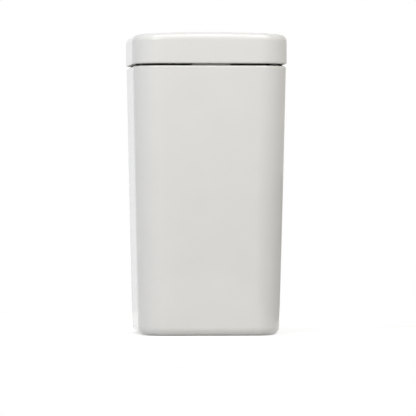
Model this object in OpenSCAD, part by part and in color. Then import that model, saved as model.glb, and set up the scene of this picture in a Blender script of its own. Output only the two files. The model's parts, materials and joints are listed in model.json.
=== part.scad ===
// Close-coupled toilet cistern with a push-button dual flush
//
// The tank is glazed china with a hollow under its floor, which hides the couplings to the pan.
// Its back is flat and stands against a wall. The front faces -Y, the wall is on the +Y side, and
// the origin is under the middle of the lid, on the surface that the foot stands on.

/* [Tank] */
// Width of the tank at its rim
tank_w = 198; // [190:1:225]
// Depth of the tank at its rim, from the front to the wall
tank_d = 179; // [172:1:205]
// Height of the rim above the surface that the tank stands on
rim_h = 347; // [335:1:390]
// How far each side draws in from the rim to the foot
side_taper = 7.8; // [2:0.2:10]
// How far the front draws in from the rim to the foot
front_taper = 11; // [2:0.5:14]
// Radius of the two front corners
front_corner_r = 38; // [25:1:45]
// Radius of the two corners at the wall
back_corner_r = 18; // [14:1:26]
// Thickness of the walls
wall_t = 10; // [8:0.5:11.5]
// Thickness of the floor
floor_t = 12; // [9:0.5:15]
// Height of the hollow under the floor
recess_h = 46; // [43:1:52]
// Width of the foot in front of that hollow and behind it
foot_w = 19; // [16:0.5:20]
// Room beside the coupling's washers in that hollow
recess_room = 1.7; // [0.5:0.1:4]
// Least width of the flat that the foot stands on
foot_flat = 2; // [1:0.5:6]
// Rounding of the foot's outer edge
foot_r = 11; // [6:0.5:13]
// Rounding of the rim's outer edge
rim_r = 2.5; // [1:0.5:3.5]
// Rounding inside the tank where the walls meet the floor
inner_r = 8; // [4:0.5:9]
// Rounding at the top of the hollow under the floor
recess_r = 4; // [2:0.5:5]
// Radius of the two holes for wall screws
wall_hole_r = 4.5; // [3:0.5:6]
// Distance between the two wall holes
wall_hole_span = 120; // [90:1:130]
// Depth of the wall holes below the rim
wall_hole_drop = 45; // [30:1:70]
// Width of the notch that lets the supply pipe in under the back
notch_w = 34; // [28:1:38]
// Height of that notch
notch_h = 32; // [24:1:38]

/* [Lid] */
// How far the lid stands out past the tank at the front and the sides
lid_overhang = 1; // [0.5:0.1:4]
// Gap between the rim and the lid, which the pads fill
lid_gap = 2.8; // [1.5:0.1:4]
// Height of the lid's side walls
lid_side_h = 37.6; // [34:0.2:46]
// Rise of the crowned top over its side edges
lid_crown = 2.4; // [1:0.1:4]
// Rounding of the lid's upper edge
lid_edge_r = 8.5; // [7:0.5:14]
// Rounding of the lid's lower edge
lid_arris_r = 2; // [1:0.5:3]
// Thickness of the lid's side walls
lid_wall_t = 10; // [8:0.5:11]
// Thickness of the lid's top at its edges
lid_top_t = 10; // [8:0.5:12]
// Rounding inside the lid under its top
lid_hollow_r = 6; // [3:0.5:8]
// Length of the ribs that keep the lid from shifting
rib_l = 50; // [30:1:60]
// Thickness of those ribs
rib_t = 6; // [4:0.5:8]
// How far the ribs reach down into the tank
rib_drop = 8; // [5:0.5:12]
// Play between a rib and the tank's wall
rib_gap = 2; // [1:0.1:4]
// Length of a lid pad
pad_l = 16; // [10:1:24]
// Width of a lid pad
pad_w = 4.6; // [3:0.2:5]
// Distance between the front and the back pads
pad_span = 76; // [50:1:90]

/* [Flush button] */
// Radius of the two buttons' round face
button_r = 22.2; // [21.6:0.1:24]
// Travel of a button
press = 7; // [5:0.5:8]
// Height of a button's side wall
button_h = 10.4; // [8:0.2:12]
// Thickness of a button's face
button_face_t = 3; // [2:0.2:4]
// Thickness of a button's side wall
button_wall_t = 1.6; // [1.2:0.1:1.8]
// Depth of the button faces below the bezel's top
button_sink = 0.6; // [0.2:0.1:1]
// Where the face is split, right of the middle
split_x = 5; // [4:0.1:6]
// Place of the full-flush button's stem, left of the middle
full_stem_x = 8.5; // [8:0.1:9.5]
// Place of the half-flush button's stem, right of the middle
half_stem_x = 13.8; // [13.4:0.1:14]
// Radius of a button's stem
stem_r = 2.9; // [2.5:0.1:3]
// Radius of the bezel's flange
bezel_r = 31; // [29:0.5:36]
// Thickness of the bezel's flange
bezel_t = 2.6; // [2:0.1:3]
// Depth of the seat that the flange lies in
bezel_recess = 1.6; // [1:0.1:2]
// Wall of the bezel's sleeve
sleeve_t = 2.4; // [2:0.1:3]
// Length of the sleeve below the flange
sleeve_l = 33.4; // [31:0.2:36]
// Thickness of the lip at the sleeve's lower end
lip_t = 2; // [1.5:0.1:3]
// Width of that lip
lip_w = 2.1; // [1.5:0.1:2.4]
// Thickness of the guide plate in the sleeve
guide_t = 3; // [2:0.2:4]
// Height of the guide plate's bushes
bush_h = 6; // [4:0.2:7]
// Wall of those bushes
bush_t = 1.2; // [1:0.1:1.4]
// Thickness of the gasket under the lid
gasket_t = 2; // [1.5:0.1:3]
// Height of the back nut under the lid
button_nut_h = 10; // [7:0.5:12]
// Wall of that nut
button_nut_t = 6; // [4:0.5:8]
// Radius of the return springs' wire
wire_r = 0.5; // [0.4:0.05:0.6]
// Turns of a return spring
spring_turns = 6; // [4:1:8]
// Radius of a push rod
rod_r = 2; // [1.5:0.1:2.4]
// Radius of the stop at the rod's upper end
rod_stop_r = 4.4; // [4:0.1:5]
// Thickness of that stop
rod_stop_t = 3; // [2:0.5:4]

/* [Flush valve] */
// Outer radius of the valve's threaded tail
tail_r = 29.8; // [29:0.1:31]
// Radius of the waterway through the tail
outlet_r = 25; // [23:0.5:26]
// Height of the tail's end above the surface that the foot stands on
tail_clear = 5; // [3:0.5:8]
// Radius of the plain spigot at the tail's end
spigot_r = 28.4; // [27.4:0.1:28.8]
// Length of that spigot
spigot_l = 15; // [12:0.5:15]
// Radius of the valve's flange inside the tank
flange_r = 42; // [40:0.5:44]
// Thickness of that flange
flange_t = 4; // [3:0.5:6]
// Thickness of the sealing washers on the tank's floor
washer_t = 3; // [2:0.5:4]
// Height of the seat that the flush seal closes on
seat_h = 4; // [3:0.5:6]
// Width of that seat
seat_w = 4.5; // [3:0.5:5]
// Height of the open basket above the flange
basket_h = 46; // [42:1:56]
// Outer radius of the basket
basket_r = 40; // [39:0.5:42]
// Posts of the basket
post_n = 6; // [6:3:9]
// Width and depth of a post
post_t = 6; // [4:0.5:7]
// Height of the ring on the posts
ring_h = 6; // [4:0.5:8]
// Height of the tail's back nut
tail_nut_h = 11; // [8:0.5:13]
// Wall of that nut
tail_nut_t = 6; // [4:0.5:6.5]
// Radius of its finger lobes
lobe_r = 4; // [3:0.5:4.5]
// Height of the foam washer that seals on the pan
foam_h = 26; // [22:0.5:28]
// Wall of the foam washer around the nut
foam_t = 5; // [4:0.5:6]
// How far the foam washer narrows at its lower end
foam_taper = 4; // [1:0.5:5]
// Height of the valve's tower above the basket
tower_h = 89; // [75:1:100]
// Outer radius of the tower
tower_r = 26; // [25:0.5:28]
// Wall of the tower
tower_t = 2.5; // [2:0.1:3]
// Thickness of the tower's foot
tower_foot_t = 4; // [3:0.5:5]
// Width of the tower's windows
window_w = 16; // [10:1:20]
// Height of those windows
window_h = 46; // [30:1:50]
// Wall of the head's tube, which slides in the tower
head_t = 2.2; // [1.8:0.1:2.6]
// Length of the head's tube inside the tower, out of which it is drawn up to suit the rim
head_hidden = 38; // [25:1:45]
// Thickness of the bridge on top of the head
bridge_t = 6; // [4:0.5:8]
// Outer radius of the overflow stem
overflow_r = 11; // [10.5:0.1:11.5]
// Wall of the overflow stem
overflow_t = 1.5; // [1.2:0.1:2]
// Thickness of the flush seal
seal_t = 3; // [2:0.5:4]
// How far the flush seal laps over its seat
seal_lap = 1.5; // [1:0.5:3]
// Thickness of the seal's retainer
retainer_t = 3.5; // [2.5:0.5:5]
// Thickness of the stem's foot over the seal
stem_foot_t = 4; // [3:0.5:5]
// Radius of the float on the stem
stem_float_r = 19.5; // [17:0.5:20]
// Height of that float
stem_float_h = 40; // [30:1:45]

/* [Rockers] */
// Depth of the rockers' pin below the rim
rocker_drop = 47; // [45:1:55]
// Distance from the push rods back to the pin
pivot_y = 20.5; // [20.5:0.1:23]
// Distance from the pin back to a rocker's lifting end
lift_reach = 29.6; // [26:0.2:31]
// Width of a rocker
rocker_w = 9; // [7:0.2:9.4]
// Thickness of a rocker's bar
rocker_t = 5; // [4:0.2:5.4]
// Radius of the pad under a push rod
pad_r = 4; // [3.5:0.1:4.5]
// Radius of a rocker's lifting end
lift_r = 3; // [2.8:0.1:3.5]
// Radius of a rocker's hub
hub_r = 5; // [4:0.2:5.4]
// Radius of the rockers' pin
pin_r = 2; // [1.5:0.1:2.4]
// Thickness of the pin's heads
pin_head_t = 1.5; // [1:0.1:2]
// Thickness of the brackets that hold the pin
bracket_t = 3; // [2:0.2:3.4]
// Depth of those brackets from front to back
bracket_d = 8; // [7:0.5:8]
// Thickness of the yoke, the stem's collar and their hooks
hook_t = 4; // [3:0.2:5]
// Wall of the yoke's ring
yoke_w = 4.2; // [3:0.1:4.4]
// Room above the stem when both buttons are pressed
head_room = 4; // [3:0.5:8]

/* [Fill valve] */
// Place of the fill valve, left of the middle
fill_x = 50; // [49:0.5:52]
// Place of the fill valve, behind the middle
fill_y = 40; // [39:0.5:42]
// Outer radius of the threaded shank
shank_r = 10.4; // [10:0.1:10.6]
// Radius of the waterway in the shank
inlet_r = 6; // [4.5:0.5:6.5]
// How much higher the shank ends than the outlet's tail
shank_lift = 3; // [1:0.5:6]
// Radius of the shank's flange
shank_flange_r = 16; // [14:0.5:17]
// Height of the inlet's back nut
inlet_nut_h = 10; // [7:0.5:12]
// Wall of that nut
inlet_nut_t = 3.6; // [3:0.2:4]
// Radius of the riser that the float slides on
riser_r = 9.5; // [8.5:0.1:9.8]
// Height of the riser above the floor
riser_h = 167; // [150:1:180]
// Radius of the valve's chamber
chamber_r = 15; // [14:0.5:15.5]
// Height of that chamber
chamber_h = 21; // [18:0.5:24]
// Radius of the cap
cap_r = 16; // [15.6:0.2:17]
// Thickness of the cap
cap_t = 8; // [7:0.5:10]
// Thickness of the diaphragm
diaphragm_t = 2; // [1.5:0.1:3]
// Radius of the float
float_r = 24.5; // [24.5:0.5:28]
// Height of the float
float_h = 45; // [35:1:55]
// Wall of the float
float_t = 2; // [1.5:0.1:2.5]
// Rise of the float from empty to full
float_travel = 10; // [6:0.5:12]
// Distance from the riser forward to the link rod
link_reach = 20.8; // [19.6:0.2:21]
// Radius of the link rod
link_r = 2; // [1.5:0.1:2.2]
// Distance from the riser back to the arm's pin
arm_back = 19; // [18:0.5:21]
// Height of the arm's pin above the cap
arm_lift = 9; // [8.5:0.5:12]
// Width of the float arm
arm_w = 10; // [9:0.5:11]
// Thickness of the float arm
arm_t = 4; // [3:0.2:4.4]
// Radius of the arm's pin
arm_pin_r = 1.5; // [1.2:0.1:2]
// Thickness of the cap's ears
ear_t = 3; // [2.4:0.2:4]

/* [Coupling kit] */
// Distance between the two coupling bolts
bolt_span = 115; // [113:0.5:117]
// Radius of a bolt
bolt_r = 4; // [3:0.5:4.5]
// Radius of a bolt's head
bolt_head_r = 9; // [7:0.5:10]
// Thickness of a bolt's head
bolt_head_t = 5; // [4:0.5:7]
// Height of a bolt's end above the surface that the foot stands on
bolt_clear = 4; // [3:0.5:10]
// Radius of a rubber washer under a bolt's head
cone_r = 12; // [10:0.5:13]
// Depth of the rubber plug in the bolt's hole
cone_depth = 5; // [3:0.5:7]
// Radius of a plate washer
plate_r = 10; // [9:0.5:10.5]
// Thickness of a plate washer
plate_t = 1.6; // [1:0.1:2]
// Width of a nut across its flats
nut_af = 13; // [12:0.5:14]
// Height of a nut
nut_h = 6.4; // [5:0.2:8]

/* [Fits] */
// Play between pieces that slide or turn past each other
play = 0.3; // [0.25:0.05:0.35]
// Play of a nut or ring on its thread
thread_play = 0.2; // [0.15:0.05:0.3]
// Play of a pin in its hole
pin_play = 0.05; // [0.02:0.01:0.08]
// Play of a button in its sleeve and beside its twin
button_play = 0.4; // [0.3:0.05:0.6]
// Room of a fitting in its hole through the china
hole_play = 1.6; // [1:0.1:2]

/* [Hidden] */
$fn = 64;
HULL_FN = 32;
COIL_RINGS = 8;
cut = 1;

// Levels and edges of the china
lid_w = tank_w + 2 * lid_overhang;
lid_d = tank_d + lid_overhang;
back_y = lid_d / 2;
floor_z = recess_h + floor_t;
lid_low_z = rim_h + lid_gap;
lid_edge_z = lid_low_z + lid_side_h;
lid_top_z = lid_edge_z + lid_crown;
lid_ceiling_z = lid_edge_z - lid_top_t;
function half_w(z) = tank_w / 2 - side_taper * (1 - z / rim_h);
function front_y(z) = back_y - tank_d + front_taper * (1 - z / rim_h);

// The hollow is as wide as its coupling needs, and the roundings end where the foot and the washers begin
recess_half = bolt_span / 2 + plate_r + recess_r + recess_room;
foot_edge_r = min(foot_r, half_w(0) - recess_half - foot_flat);
floor_edge_r = min(inner_r, half_w(floor_z) - wall_t - bolt_span / 2 - cone_r - play);

// Flush button, from the lid's top down
sleeve_ir = button_r + button_play;
sleeve_or = sleeve_ir + sleeve_t;
bezel_seat_z = lid_top_z - bezel_recess;
bezel_top_z = bezel_seat_z + bezel_t;
sleeve_low_z = bezel_seat_z - sleeve_l;
guide_low_z = sleeve_low_z + lip_t;
guide_top_z = guide_low_z + guide_t;
button_top_z = bezel_top_z - button_sink;
face_low_z = button_top_z - button_face_t;
stem_low_z = guide_low_z - play;
bush_r = stem_r + play + bush_t;
spring_r = (bush_r + play + wire_r) / cos(180 / COIL_RINGS);
stems = [-full_stem_x, half_stem_x];

// Rockers: level half way through the travel, so they tilt as far up as down
pivot_z = rim_h - rocker_drop;
rocker_tilt = atan(press / 2 / pivot_y);
pad_len = pivot_y / cos(rocker_tilt);
lift_len = lift_reach / cos(rocker_tilt);
lift = press * lift_reach / pivot_y;
rod_tip_z = pivot_z + press / 2 + pad_r + play;
hook_z = pivot_z - lift_reach * tan(rocker_tilt) + lift_r + play;
hook_post_y = pivot_y + lift_len + lift_r + 3 * play;
mid_bracket_x = (half_stem_x - full_stem_x) / 2;
left_bracket_x = -full_stem_x - rocker_w / 2 - 1 - bracket_t / 2;
right_bracket_x = half_stem_x + rocker_w / 2 + 1 + bracket_t / 2;
bracket_xs = [left_bracket_x, mid_bracket_x, right_bracket_x];

// Flush valve, from the floor up to the bridge under the rockers
base_z = floor_z + washer_t;
base_top_z = base_z + flange_t;
seat_z = base_top_z + seat_h;
ring_top_z = base_top_z + basket_h;
collar_rise = hook_t + play + hook_t + hook_t / 2;
bridge_z = pivot_z - press / 2 - pad_r - head_room - 2 * lift - collar_rise;
tower_top_z = ring_top_z + tower_h;
head_r = tower_r - tower_t - play;
collar_r = overflow_r + play + yoke_w;
stem_float_z = tower_top_z - head_hidden + 3 - stem_float_h;
tail_nut_r = tail_r + thread_play + tail_nut_t;
foam_r = tail_nut_r + lobe_r + play + foam_t;

// Fill valve, from the floor up to the float arm
shank_end_z = tail_clear + shank_lift;
chamber_z = floor_z + riser_h;
cap_z = chamber_z + chamber_h;
cap_top_z = cap_z + cap_t;
float_top_z = chamber_z - float_travel - 2;
float_z = float_top_z - float_h;
arm_z = cap_top_z + arm_lift;
arm_len = arm_back + link_reach;
arm_tilt = atan(float_travel / 2 / arm_len);
link_z = arm_z - float_travel / 2;
fork_room = arm_t / 2 + 3 * play;
nose_drop = arm_lift + cap_t / 2;
nose_y = (cap_r - arm_back + play + nose_drop * sin(arm_tilt)) / cos(arm_tilt);

// Shapes that repeat

module ring(r_out, r_in, z0, z1) {
  translate([0, 0, z0])
    difference() {
      cylinder(r = r_out, h = z1 - z0);
      translate([0, 0, -cut]) cylinder(r = r_in, h = z1 - z0 + 2 * cut);
    }
}

// Round cake on z = 0 with its upper edge rounded
module bun(r, edge) {
  steps = 5;
  arc = [for (i = [0:steps]) [r - edge + edge * cos(90 * i / steps), edge * sin(90 * i / steps)]];
  rotate_extrude($fn = HULL_FN)
    polygon(concat([[0, 0]], arc, [[0, edge]]));
}

// The four corners of a ring around the tank, drawn in by inset at height z
module tank_corners(z, inset, edge, down) {
  rf = max(edge + cut, front_corner_r - inset);
  rb = max(edge + cut, back_corner_r - inset);
  for (side = [-1, 1]) {
    translate([side * (half_w(z) - inset - rf), front_y(z) + inset + rf, z])
      mirror([0, 0, down ? 1 : 0]) bun(rf, edge);
    translate([side * (half_w(z) - inset - rb), back_y - inset - rb, z])
      mirror([0, 0, down ? 1 : 0]) bun(rb, edge);
  }
}

// The same for the hollow under the floor, which has upright sides
module recess_corners(z, edge, down) {
  rf = max(edge + cut, front_corner_r - foot_w);
  rb = max(edge + cut, back_corner_r - foot_w);
  for (side = [-1, 1]) {
    translate([side * (recess_half - rf), front_y(z) + foot_w + rf, z])
      mirror([0, 0, down ? 1 : 0]) bun(rf, edge);
    translate([side * (recess_half - rb), back_y - foot_w - rb, z])
      mirror([0, 0, down ? 1 : 0]) bun(rb, edge);
  }
}

// The same for the lid, which has upright sides too
module lid_corners(z, inset, edge, down) {
  rf = max(edge + cut, front_corner_r + lid_overhang - inset);
  rb = max(edge + cut, back_corner_r + lid_overhang - inset);
  for (side = [-1, 1]) {
    translate([side * (lid_w / 2 - inset - rf), -lid_d / 2 + inset + rf, z])
      mirror([0, 0, down ? 1 : 0]) bun(rf, edge);
    translate([side * (lid_w / 2 - inset - rb), lid_d / 2 - inset - rb, z])
      mirror([0, 0, down ? 1 : 0]) bun(rb, edge);
  }
}

// Outline of the lid's flat top inside its rounded edge
module lid_top_outline() {
  rf = max(cut, front_corner_r + lid_overhang - lid_edge_r);
  rb = max(cut, back_corner_r + lid_overhang - lid_edge_r);
  x = lid_w / 2 - lid_edge_r;
  y = lid_d / 2 - lid_edge_r;
  hull()
    for (side = [-1, 1]) {
      translate([side * (x - rf), rf - y]) circle(r = rf, $fn = HULL_FN);
      translate([side * (x - rb), y - rb]) circle(r = rb, $fn = HULL_FN);
    }
}

module lobed_nut(r_in, wall, h, lobes, lobe) {
  difference() {
    union() {
      cylinder(r = r_in + wall, h = h);
      for (i = [0:lobes - 1])
        rotate([0, 0, 360 * i / lobes]) translate([r_in + wall, 0, 0]) cylinder(r = lobe, h = h, $fn = 24);
    }
    translate([0, 0, -cut]) cylinder(r = r_in, h = h + 2 * cut);
  }
}

// Closed tube wound round the Z axis from z0 to z1
module coil(r, wire, z0, z1, turns) {
  rings = COIL_RINGS * turns;
  sides = 6;
  low = z0 + wire + play;
  rise = z1 - z0 - 2 * (wire + play);
  slope = atan(rise / (turns * 2 * PI * r));
  points = [
    for (i = [0:rings])
      let (a = 360 * turns * i / rings)
        for (j = [0:sides - 1])
          let (
            b = 360 * j / sides,
            out = r + wire * cos(b),
            along = -wire * sin(b) * sin(slope)
          )
            [
              out * cos(a) - along * sin(a),
              out * sin(a) + along * cos(a),
              low + rise * i / rings + wire * sin(b) * cos(slope)
            ]
  ];
  skin = [
    for (i = [0:rings - 1])
      for (j = [0:sides - 1])
        let (
          k = (j + 1) % sides,
          p = i * sides + j,
          q = i * sides + k
        )
          each [[p, p + sides, q], [q, p + sides, q + sides]]
  ];
  ends = [
    for (j = [1:sides - 2])
      each [[0, j, j + 1], [rings * sides, rings * sides + j + 1, rings * sides + j]]
  ];
  polyhedron(points = points, faces = concat(skin, ends), convexity = 6);
}

// Half of the split button face, as an outline drawn in by inset
module button_outline(side, inset) {
  edge = split_x + side * (button_play / 2 + inset);
  intersection() {
    circle(r = button_r - inset);
    translate([side > 0 ? edge : edge - 2 * button_r, -button_r])
      square([2 * button_r, 2 * button_r]);
  }
}

// Button with a hollow underside and a stem that runs down through the guide plate
module button(side, stem_x) {
  difference() {
    translate([0, 0, button_top_z - button_h])
      linear_extrude(button_h) button_outline(side, 0);
    translate([0, 0, button_top_z - button_h - cut])
      linear_extrude(button_h - button_face_t + cut) button_outline(side, button_wall_t);
  }
  translate([stem_x, 0, stem_low_z]) cylinder(r = stem_r, h = face_low_z - stem_low_z + cut);
}

module push_rod(stem_x) {
  translate([stem_x, 0, rod_tip_z]) cylinder(r = rod_r, h = stem_low_z - rod_tip_z);
  translate([stem_x, 0, stem_low_z - rod_stop_t]) cylinder(r = rod_stop_r, h = rod_stop_t);
}

// Rocker on the pin: the pad lies under the push rod, the other end under a hook
module rocker(stem_x, x0, x1) {
  translate([0, pivot_y, pivot_z])
    rotate([-rocker_tilt, 0, 0])
      difference() {
        union() {
          translate([stem_x - rocker_w / 2, -pad_len, -rocker_t / 2])
            cube([rocker_w, pad_len + lift_len, rocker_t]);
          translate([stem_x - rocker_w / 2, -pad_len, 0])
            rotate([0, 90, 0]) cylinder(r = pad_r, h = rocker_w);
          translate([stem_x - rocker_w / 2, lift_len, 0])
            rotate([0, 90, 0]) cylinder(r = lift_r, h = rocker_w);
          translate([x0, 0, 0]) rotate([0, 90, 0]) cylinder(r = hub_r, h = x1 - x0);
        }
        translate([x0 - cut, 0, 0])
          rotate([0, 90, 0]) cylinder(r = pin_r + pin_play, h = x1 - x0 + 2 * cut);
      }
}

// Arm that runs back from a ring on the stem and hooks over a rocker's lifting end
module hook(x0, x1, z) {
  back = hook_post_y + hook_t;
  translate([x0, overflow_r + yoke_w / 2, z]) cube([x1 - x0, back - overflow_r - yoke_w / 2, hook_t]);
  translate([x0, hook_post_y, z]) cube([x1 - x0, hook_t, hook_z + hook_t - z]);
  translate([x0, hook_post_y - 2 * lift_r - 4 * play, hook_z])
    cube([x1 - x0, back - hook_post_y + 2 * lift_r + 4 * play, hook_t]);
}

module at_fill() {
  translate([-fill_x, fill_y, 0]) children();
}

module at_bolts() {
  for (side = [-1, 1]) translate([side * bolt_span / 2, 0, 0]) children();
}

// China

module cistern_body() {
  color("white")
    difference() {
      hull() {
        tank_corners(foot_edge_r, 0, foot_edge_r, true);
        tank_corners(rim_h - rim_r, 0, rim_r, false);
      }
      hull() {
        tank_corners(floor_z + floor_edge_r, wall_t, floor_edge_r, true);
        tank_corners(rim_h + cut, wall_t, cut, false);
      }
      hull() {
        recess_corners(-cut, cut, true);
        recess_corners(recess_h - recess_r, recess_r, false);
      }
      translate([0, 0, recess_h - cut]) cylinder(r = tail_r + hole_play, h = floor_t + 2 * cut);
      at_fill() translate([0, 0, recess_h - cut]) cylinder(r = shank_r + hole_play, h = floor_t + 2 * cut);
      at_bolts() translate([0, 0, recess_h - cut]) cylinder(r = bolt_r + hole_play, h = floor_t + 2 * cut);
      for (side = [-1, 1])
        translate([side * wall_hole_span / 2, back_y + cut, rim_h - wall_hole_drop])
          rotate([90, 0, 0]) cylinder(r = wall_hole_r, h = wall_t + 2 * cut);
      at_fill() {
        translate([-notch_w / 2, 0, -cut]) cube([notch_w, back_y, notch_h - notch_w / 2 + cut]);
        translate([0, 0, notch_h - notch_w / 2])
          rotate([-90, 0, 0]) cylinder(r = notch_w / 2, h = back_y);
      }
    }
}

module cistern_lid() {
  half_crown = lid_w / 2 - lid_edge_r;
  crown_r = (half_crown * half_crown + lid_crown * lid_crown) / (2 * lid_crown);
  rib_x = half_w(rim_h - rib_drop) - wall_t - rib_gap;
  rib_front_y = front_y(rim_h - rib_drop) + wall_t + rib_gap;
  rib_back_y = back_y - wall_t - rib_gap;
  color("white") {
    difference() {
      hull() {
        lid_corners(lid_low_z + lid_arris_r, 0, lid_arris_r, true);
        lid_corners(lid_edge_z - lid_edge_r, 0, lid_edge_r, false);
        intersection() {
          translate([0, 0, lid_edge_z - lid_edge_r])
            linear_extrude(lid_edge_r + lid_crown) lid_top_outline();
          translate([0, lid_d, lid_top_z - crown_r])
            rotate([90, 0, 0]) cylinder(r = crown_r, h = 2 * lid_d, $fn = 720);
        }
      }
      hull() {
        lid_corners(lid_low_z - cut, lid_wall_t, cut, true);
        lid_corners(lid_ceiling_z - lid_hollow_r, lid_wall_t, lid_hollow_r, false);
      }
      translate([0, 0, lid_ceiling_z - cut])
        cylinder(r = sleeve_or + play, h = lid_top_t + lid_crown + 2 * cut);
      translate([0, 0, bezel_seat_z]) cylinder(r = bezel_r + play, h = bezel_t + cut);
    }
    for (side = [-1, 1])
      mirror([side > 0 ? 0 : 1, 0, 0]) {
        translate([rib_x - rib_t, -rib_l / 2, rim_h - rib_drop])
          cube([rib_t, rib_l, lid_ceiling_z - rim_h + rib_drop + cut]);
        translate([rib_x - rib_t, -rib_l / 2, lid_low_z])
          cube([lid_w / 2 - lid_wall_t + cut - rib_x + rib_t, rib_l, lid_ceiling_z - lid_low_z + cut]);
      }
    translate([-rib_l / 2, rib_front_y, rim_h - rib_drop])
      cube([rib_l, rib_t, lid_ceiling_z - rim_h + rib_drop + cut]);
    translate([-rib_l / 2, -lid_d / 2 + lid_wall_t - cut, lid_low_z])
      cube([rib_l, rib_front_y + rib_t + lid_d / 2 - lid_wall_t + cut, lid_ceiling_z - lid_low_z + cut]);
    translate([-rib_l / 2, rib_back_y - rib_t, rim_h - rib_drop])
      cube([rib_l, rib_t, lid_ceiling_z - rim_h + rib_drop + cut]);
    translate([-rib_l / 2, rib_back_y - rib_t, lid_low_z])
      cube([rib_l, lid_d / 2 - lid_wall_t + cut - rib_back_y + rib_t, lid_ceiling_z - lid_low_z + cut]);
  }
}

module lid_pads() {
  x = half_w(rim_h) - (wall_t + rim_r) / 2;
  color("gainsboro")
    for (side = [-1, 1], end = [-1, 1])
      translate([side * x, end * pad_span / 2, rim_h])
        linear_extrude(lid_gap) {
          square([pad_w, pad_l - pad_w], center = true);
          translate([0, (pad_l - pad_w) / 2]) circle(d = pad_w);
          translate([0, -(pad_l - pad_w) / 2]) circle(d = pad_w);
        }
}

// Flush button

module button_bezel() {
  round = bezel_t / 2;
  color("silver")
    rotate_extrude()
      polygon([
        [sleeve_ir, bezel_top_z],
        [bezel_r - round, bezel_top_z],
        [bezel_r - round / 4, bezel_top_z - round / 2],
        [bezel_r, bezel_top_z - round],
        [bezel_r, bezel_seat_z],
        [sleeve_or, bezel_seat_z],
        [sleeve_or, sleeve_low_z],
        [sleeve_ir - lip_w, sleeve_low_z],
        [sleeve_ir - lip_w, guide_low_z],
        [sleeve_ir, guide_low_z]
      ]);
}

module button_gasket() {
  color("dimgray")
    ring(
      sleeve_or + thread_play + button_nut_t, sleeve_or + thread_play,
      lid_ceiling_z - gasket_t, lid_ceiling_z
    );
}

module button_nut() {
  color("whitesmoke")
    translate([0, 0, lid_ceiling_z - gasket_t - button_nut_h])
      lobed_nut(sleeve_or + thread_play, button_nut_t, button_nut_h, 8, 3);
}

module button_guide() {
  color("whitesmoke")
    difference() {
      union() {
        translate([0, 0, guide_low_z]) cylinder(r = sleeve_ir - thread_play, h = guide_t);
        for (x = stems) translate([x, 0, guide_top_z]) cylinder(r = bush_r, h = bush_h);
      }
      for (x = stems)
        translate([x, 0, guide_low_z - cut]) cylinder(r = stem_r + play, h = guide_t + bush_h + 2 * cut);
    }
}

module full_button() {
  color("silver") button(-1, -full_stem_x);
}

module half_button() {
  color("silver") button(1, half_stem_x);
}

module full_spring() {
  color("gray") translate([-full_stem_x, 0, 0]) coil(spring_r, wire_r, guide_top_z, face_low_z, spring_turns);
}

module half_spring() {
  color("gray") translate([half_stem_x, 0, 0]) coil(spring_r, wire_r, guide_top_z, face_low_z, spring_turns);
}

module full_rod() {
  color("white") push_rod(-full_stem_x);
}

module half_rod() {
  color("white") push_rod(half_stem_x);
}

// Flush valve

module valve_base() {
  mid_r = basket_r - post_t / 2;
  color("white") {
    difference() {
      union() {
        translate([0, 0, tail_clear]) cylinder(r = spigot_r, h = spigot_l);
        translate([0, 0, tail_clear + spigot_l]) cylinder(r = tail_r, h = base_z - tail_clear - spigot_l);
        translate([0, 0, base_z]) cylinder(r = flange_r, h = flange_t);
        translate([0, 0, base_top_z]) cylinder(r = outlet_r + seat_w, h = seat_h);
      }
      translate([0, 0, tail_clear - cut]) cylinder(r = outlet_r, h = seat_z - tail_clear + 2 * cut);
    }
    for (i = [0:post_n - 1])
      rotate([0, 0, 360 * i / post_n])
        translate([mid_r - post_t / 2 + cut, -post_t / 2, base_top_z - cut])
          cube([post_t - 2 * cut, post_t, basket_h - ring_h + 2 * cut]);
    ring(basket_r, basket_r - post_t, ring_top_z - ring_h, ring_top_z);
  }
}

module outlet_washer() {
  color("dimgray") ring(flange_r, tail_r + thread_play, floor_z, base_z);
}

module outlet_nut() {
  color("white")
    translate([0, 0, recess_h - tail_nut_h])
      lobed_nut(tail_r + thread_play, tail_nut_t, tail_nut_h, 8, lobe_r);
}

module coupling_foam() {
  low = recess_h - foam_h;
  pocket_z = recess_h - tail_nut_h - play;
  pocket_r = foam_r - foam_t;
  color("dimgray")
    rotate_extrude()
      polygon([
        [tail_r + thread_play, low],
        [foam_r - foam_taper, low],
        [foam_r, low + foam_h / 3],
        [foam_r, recess_h],
        [pocket_r, recess_h],
        [pocket_r, pocket_z],
        [tail_r + thread_play, pocket_z]
      ]);
}

module valve_tower() {
  toe = 3;
  color("white") {
    difference() {
      union() {
        translate([0, 0, ring_top_z]) cylinder(r = basket_r, h = tower_foot_t);
        translate([0, 0, ring_top_z]) cylinder(r = tower_r, h = tower_top_z - ring_top_z);
      }
      translate([0, 0, ring_top_z - cut])
        cylinder(r = tower_r - tower_t, h = tower_top_z - ring_top_z + 2 * cut);
      for (i = [0:3])
        rotate([0, 0, 90 * i + 45])
          translate([0, -window_w / 2, ring_top_z + tower_foot_t + 8])
            cube([2 * tower_r, window_w, window_h]);
    }
    // Hooks that turn in under the basket's ring
    for (i = [0:2])
      rotate([0, 0, 120 * i + 30]) {
        translate([basket_r + play, -5, ring_top_z - ring_h - play - toe])
          cube([toe, 10, ring_h + toe + play + tower_foot_t]);
        translate([basket_r - cut, -5, ring_top_z]) cube([toe + play + cut, 10, tower_foot_t]);
        translate([basket_r - toe, -5, ring_top_z - ring_h - play - toe]) cube([2 * toe, 10, toe]);
      }
  }
}

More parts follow.
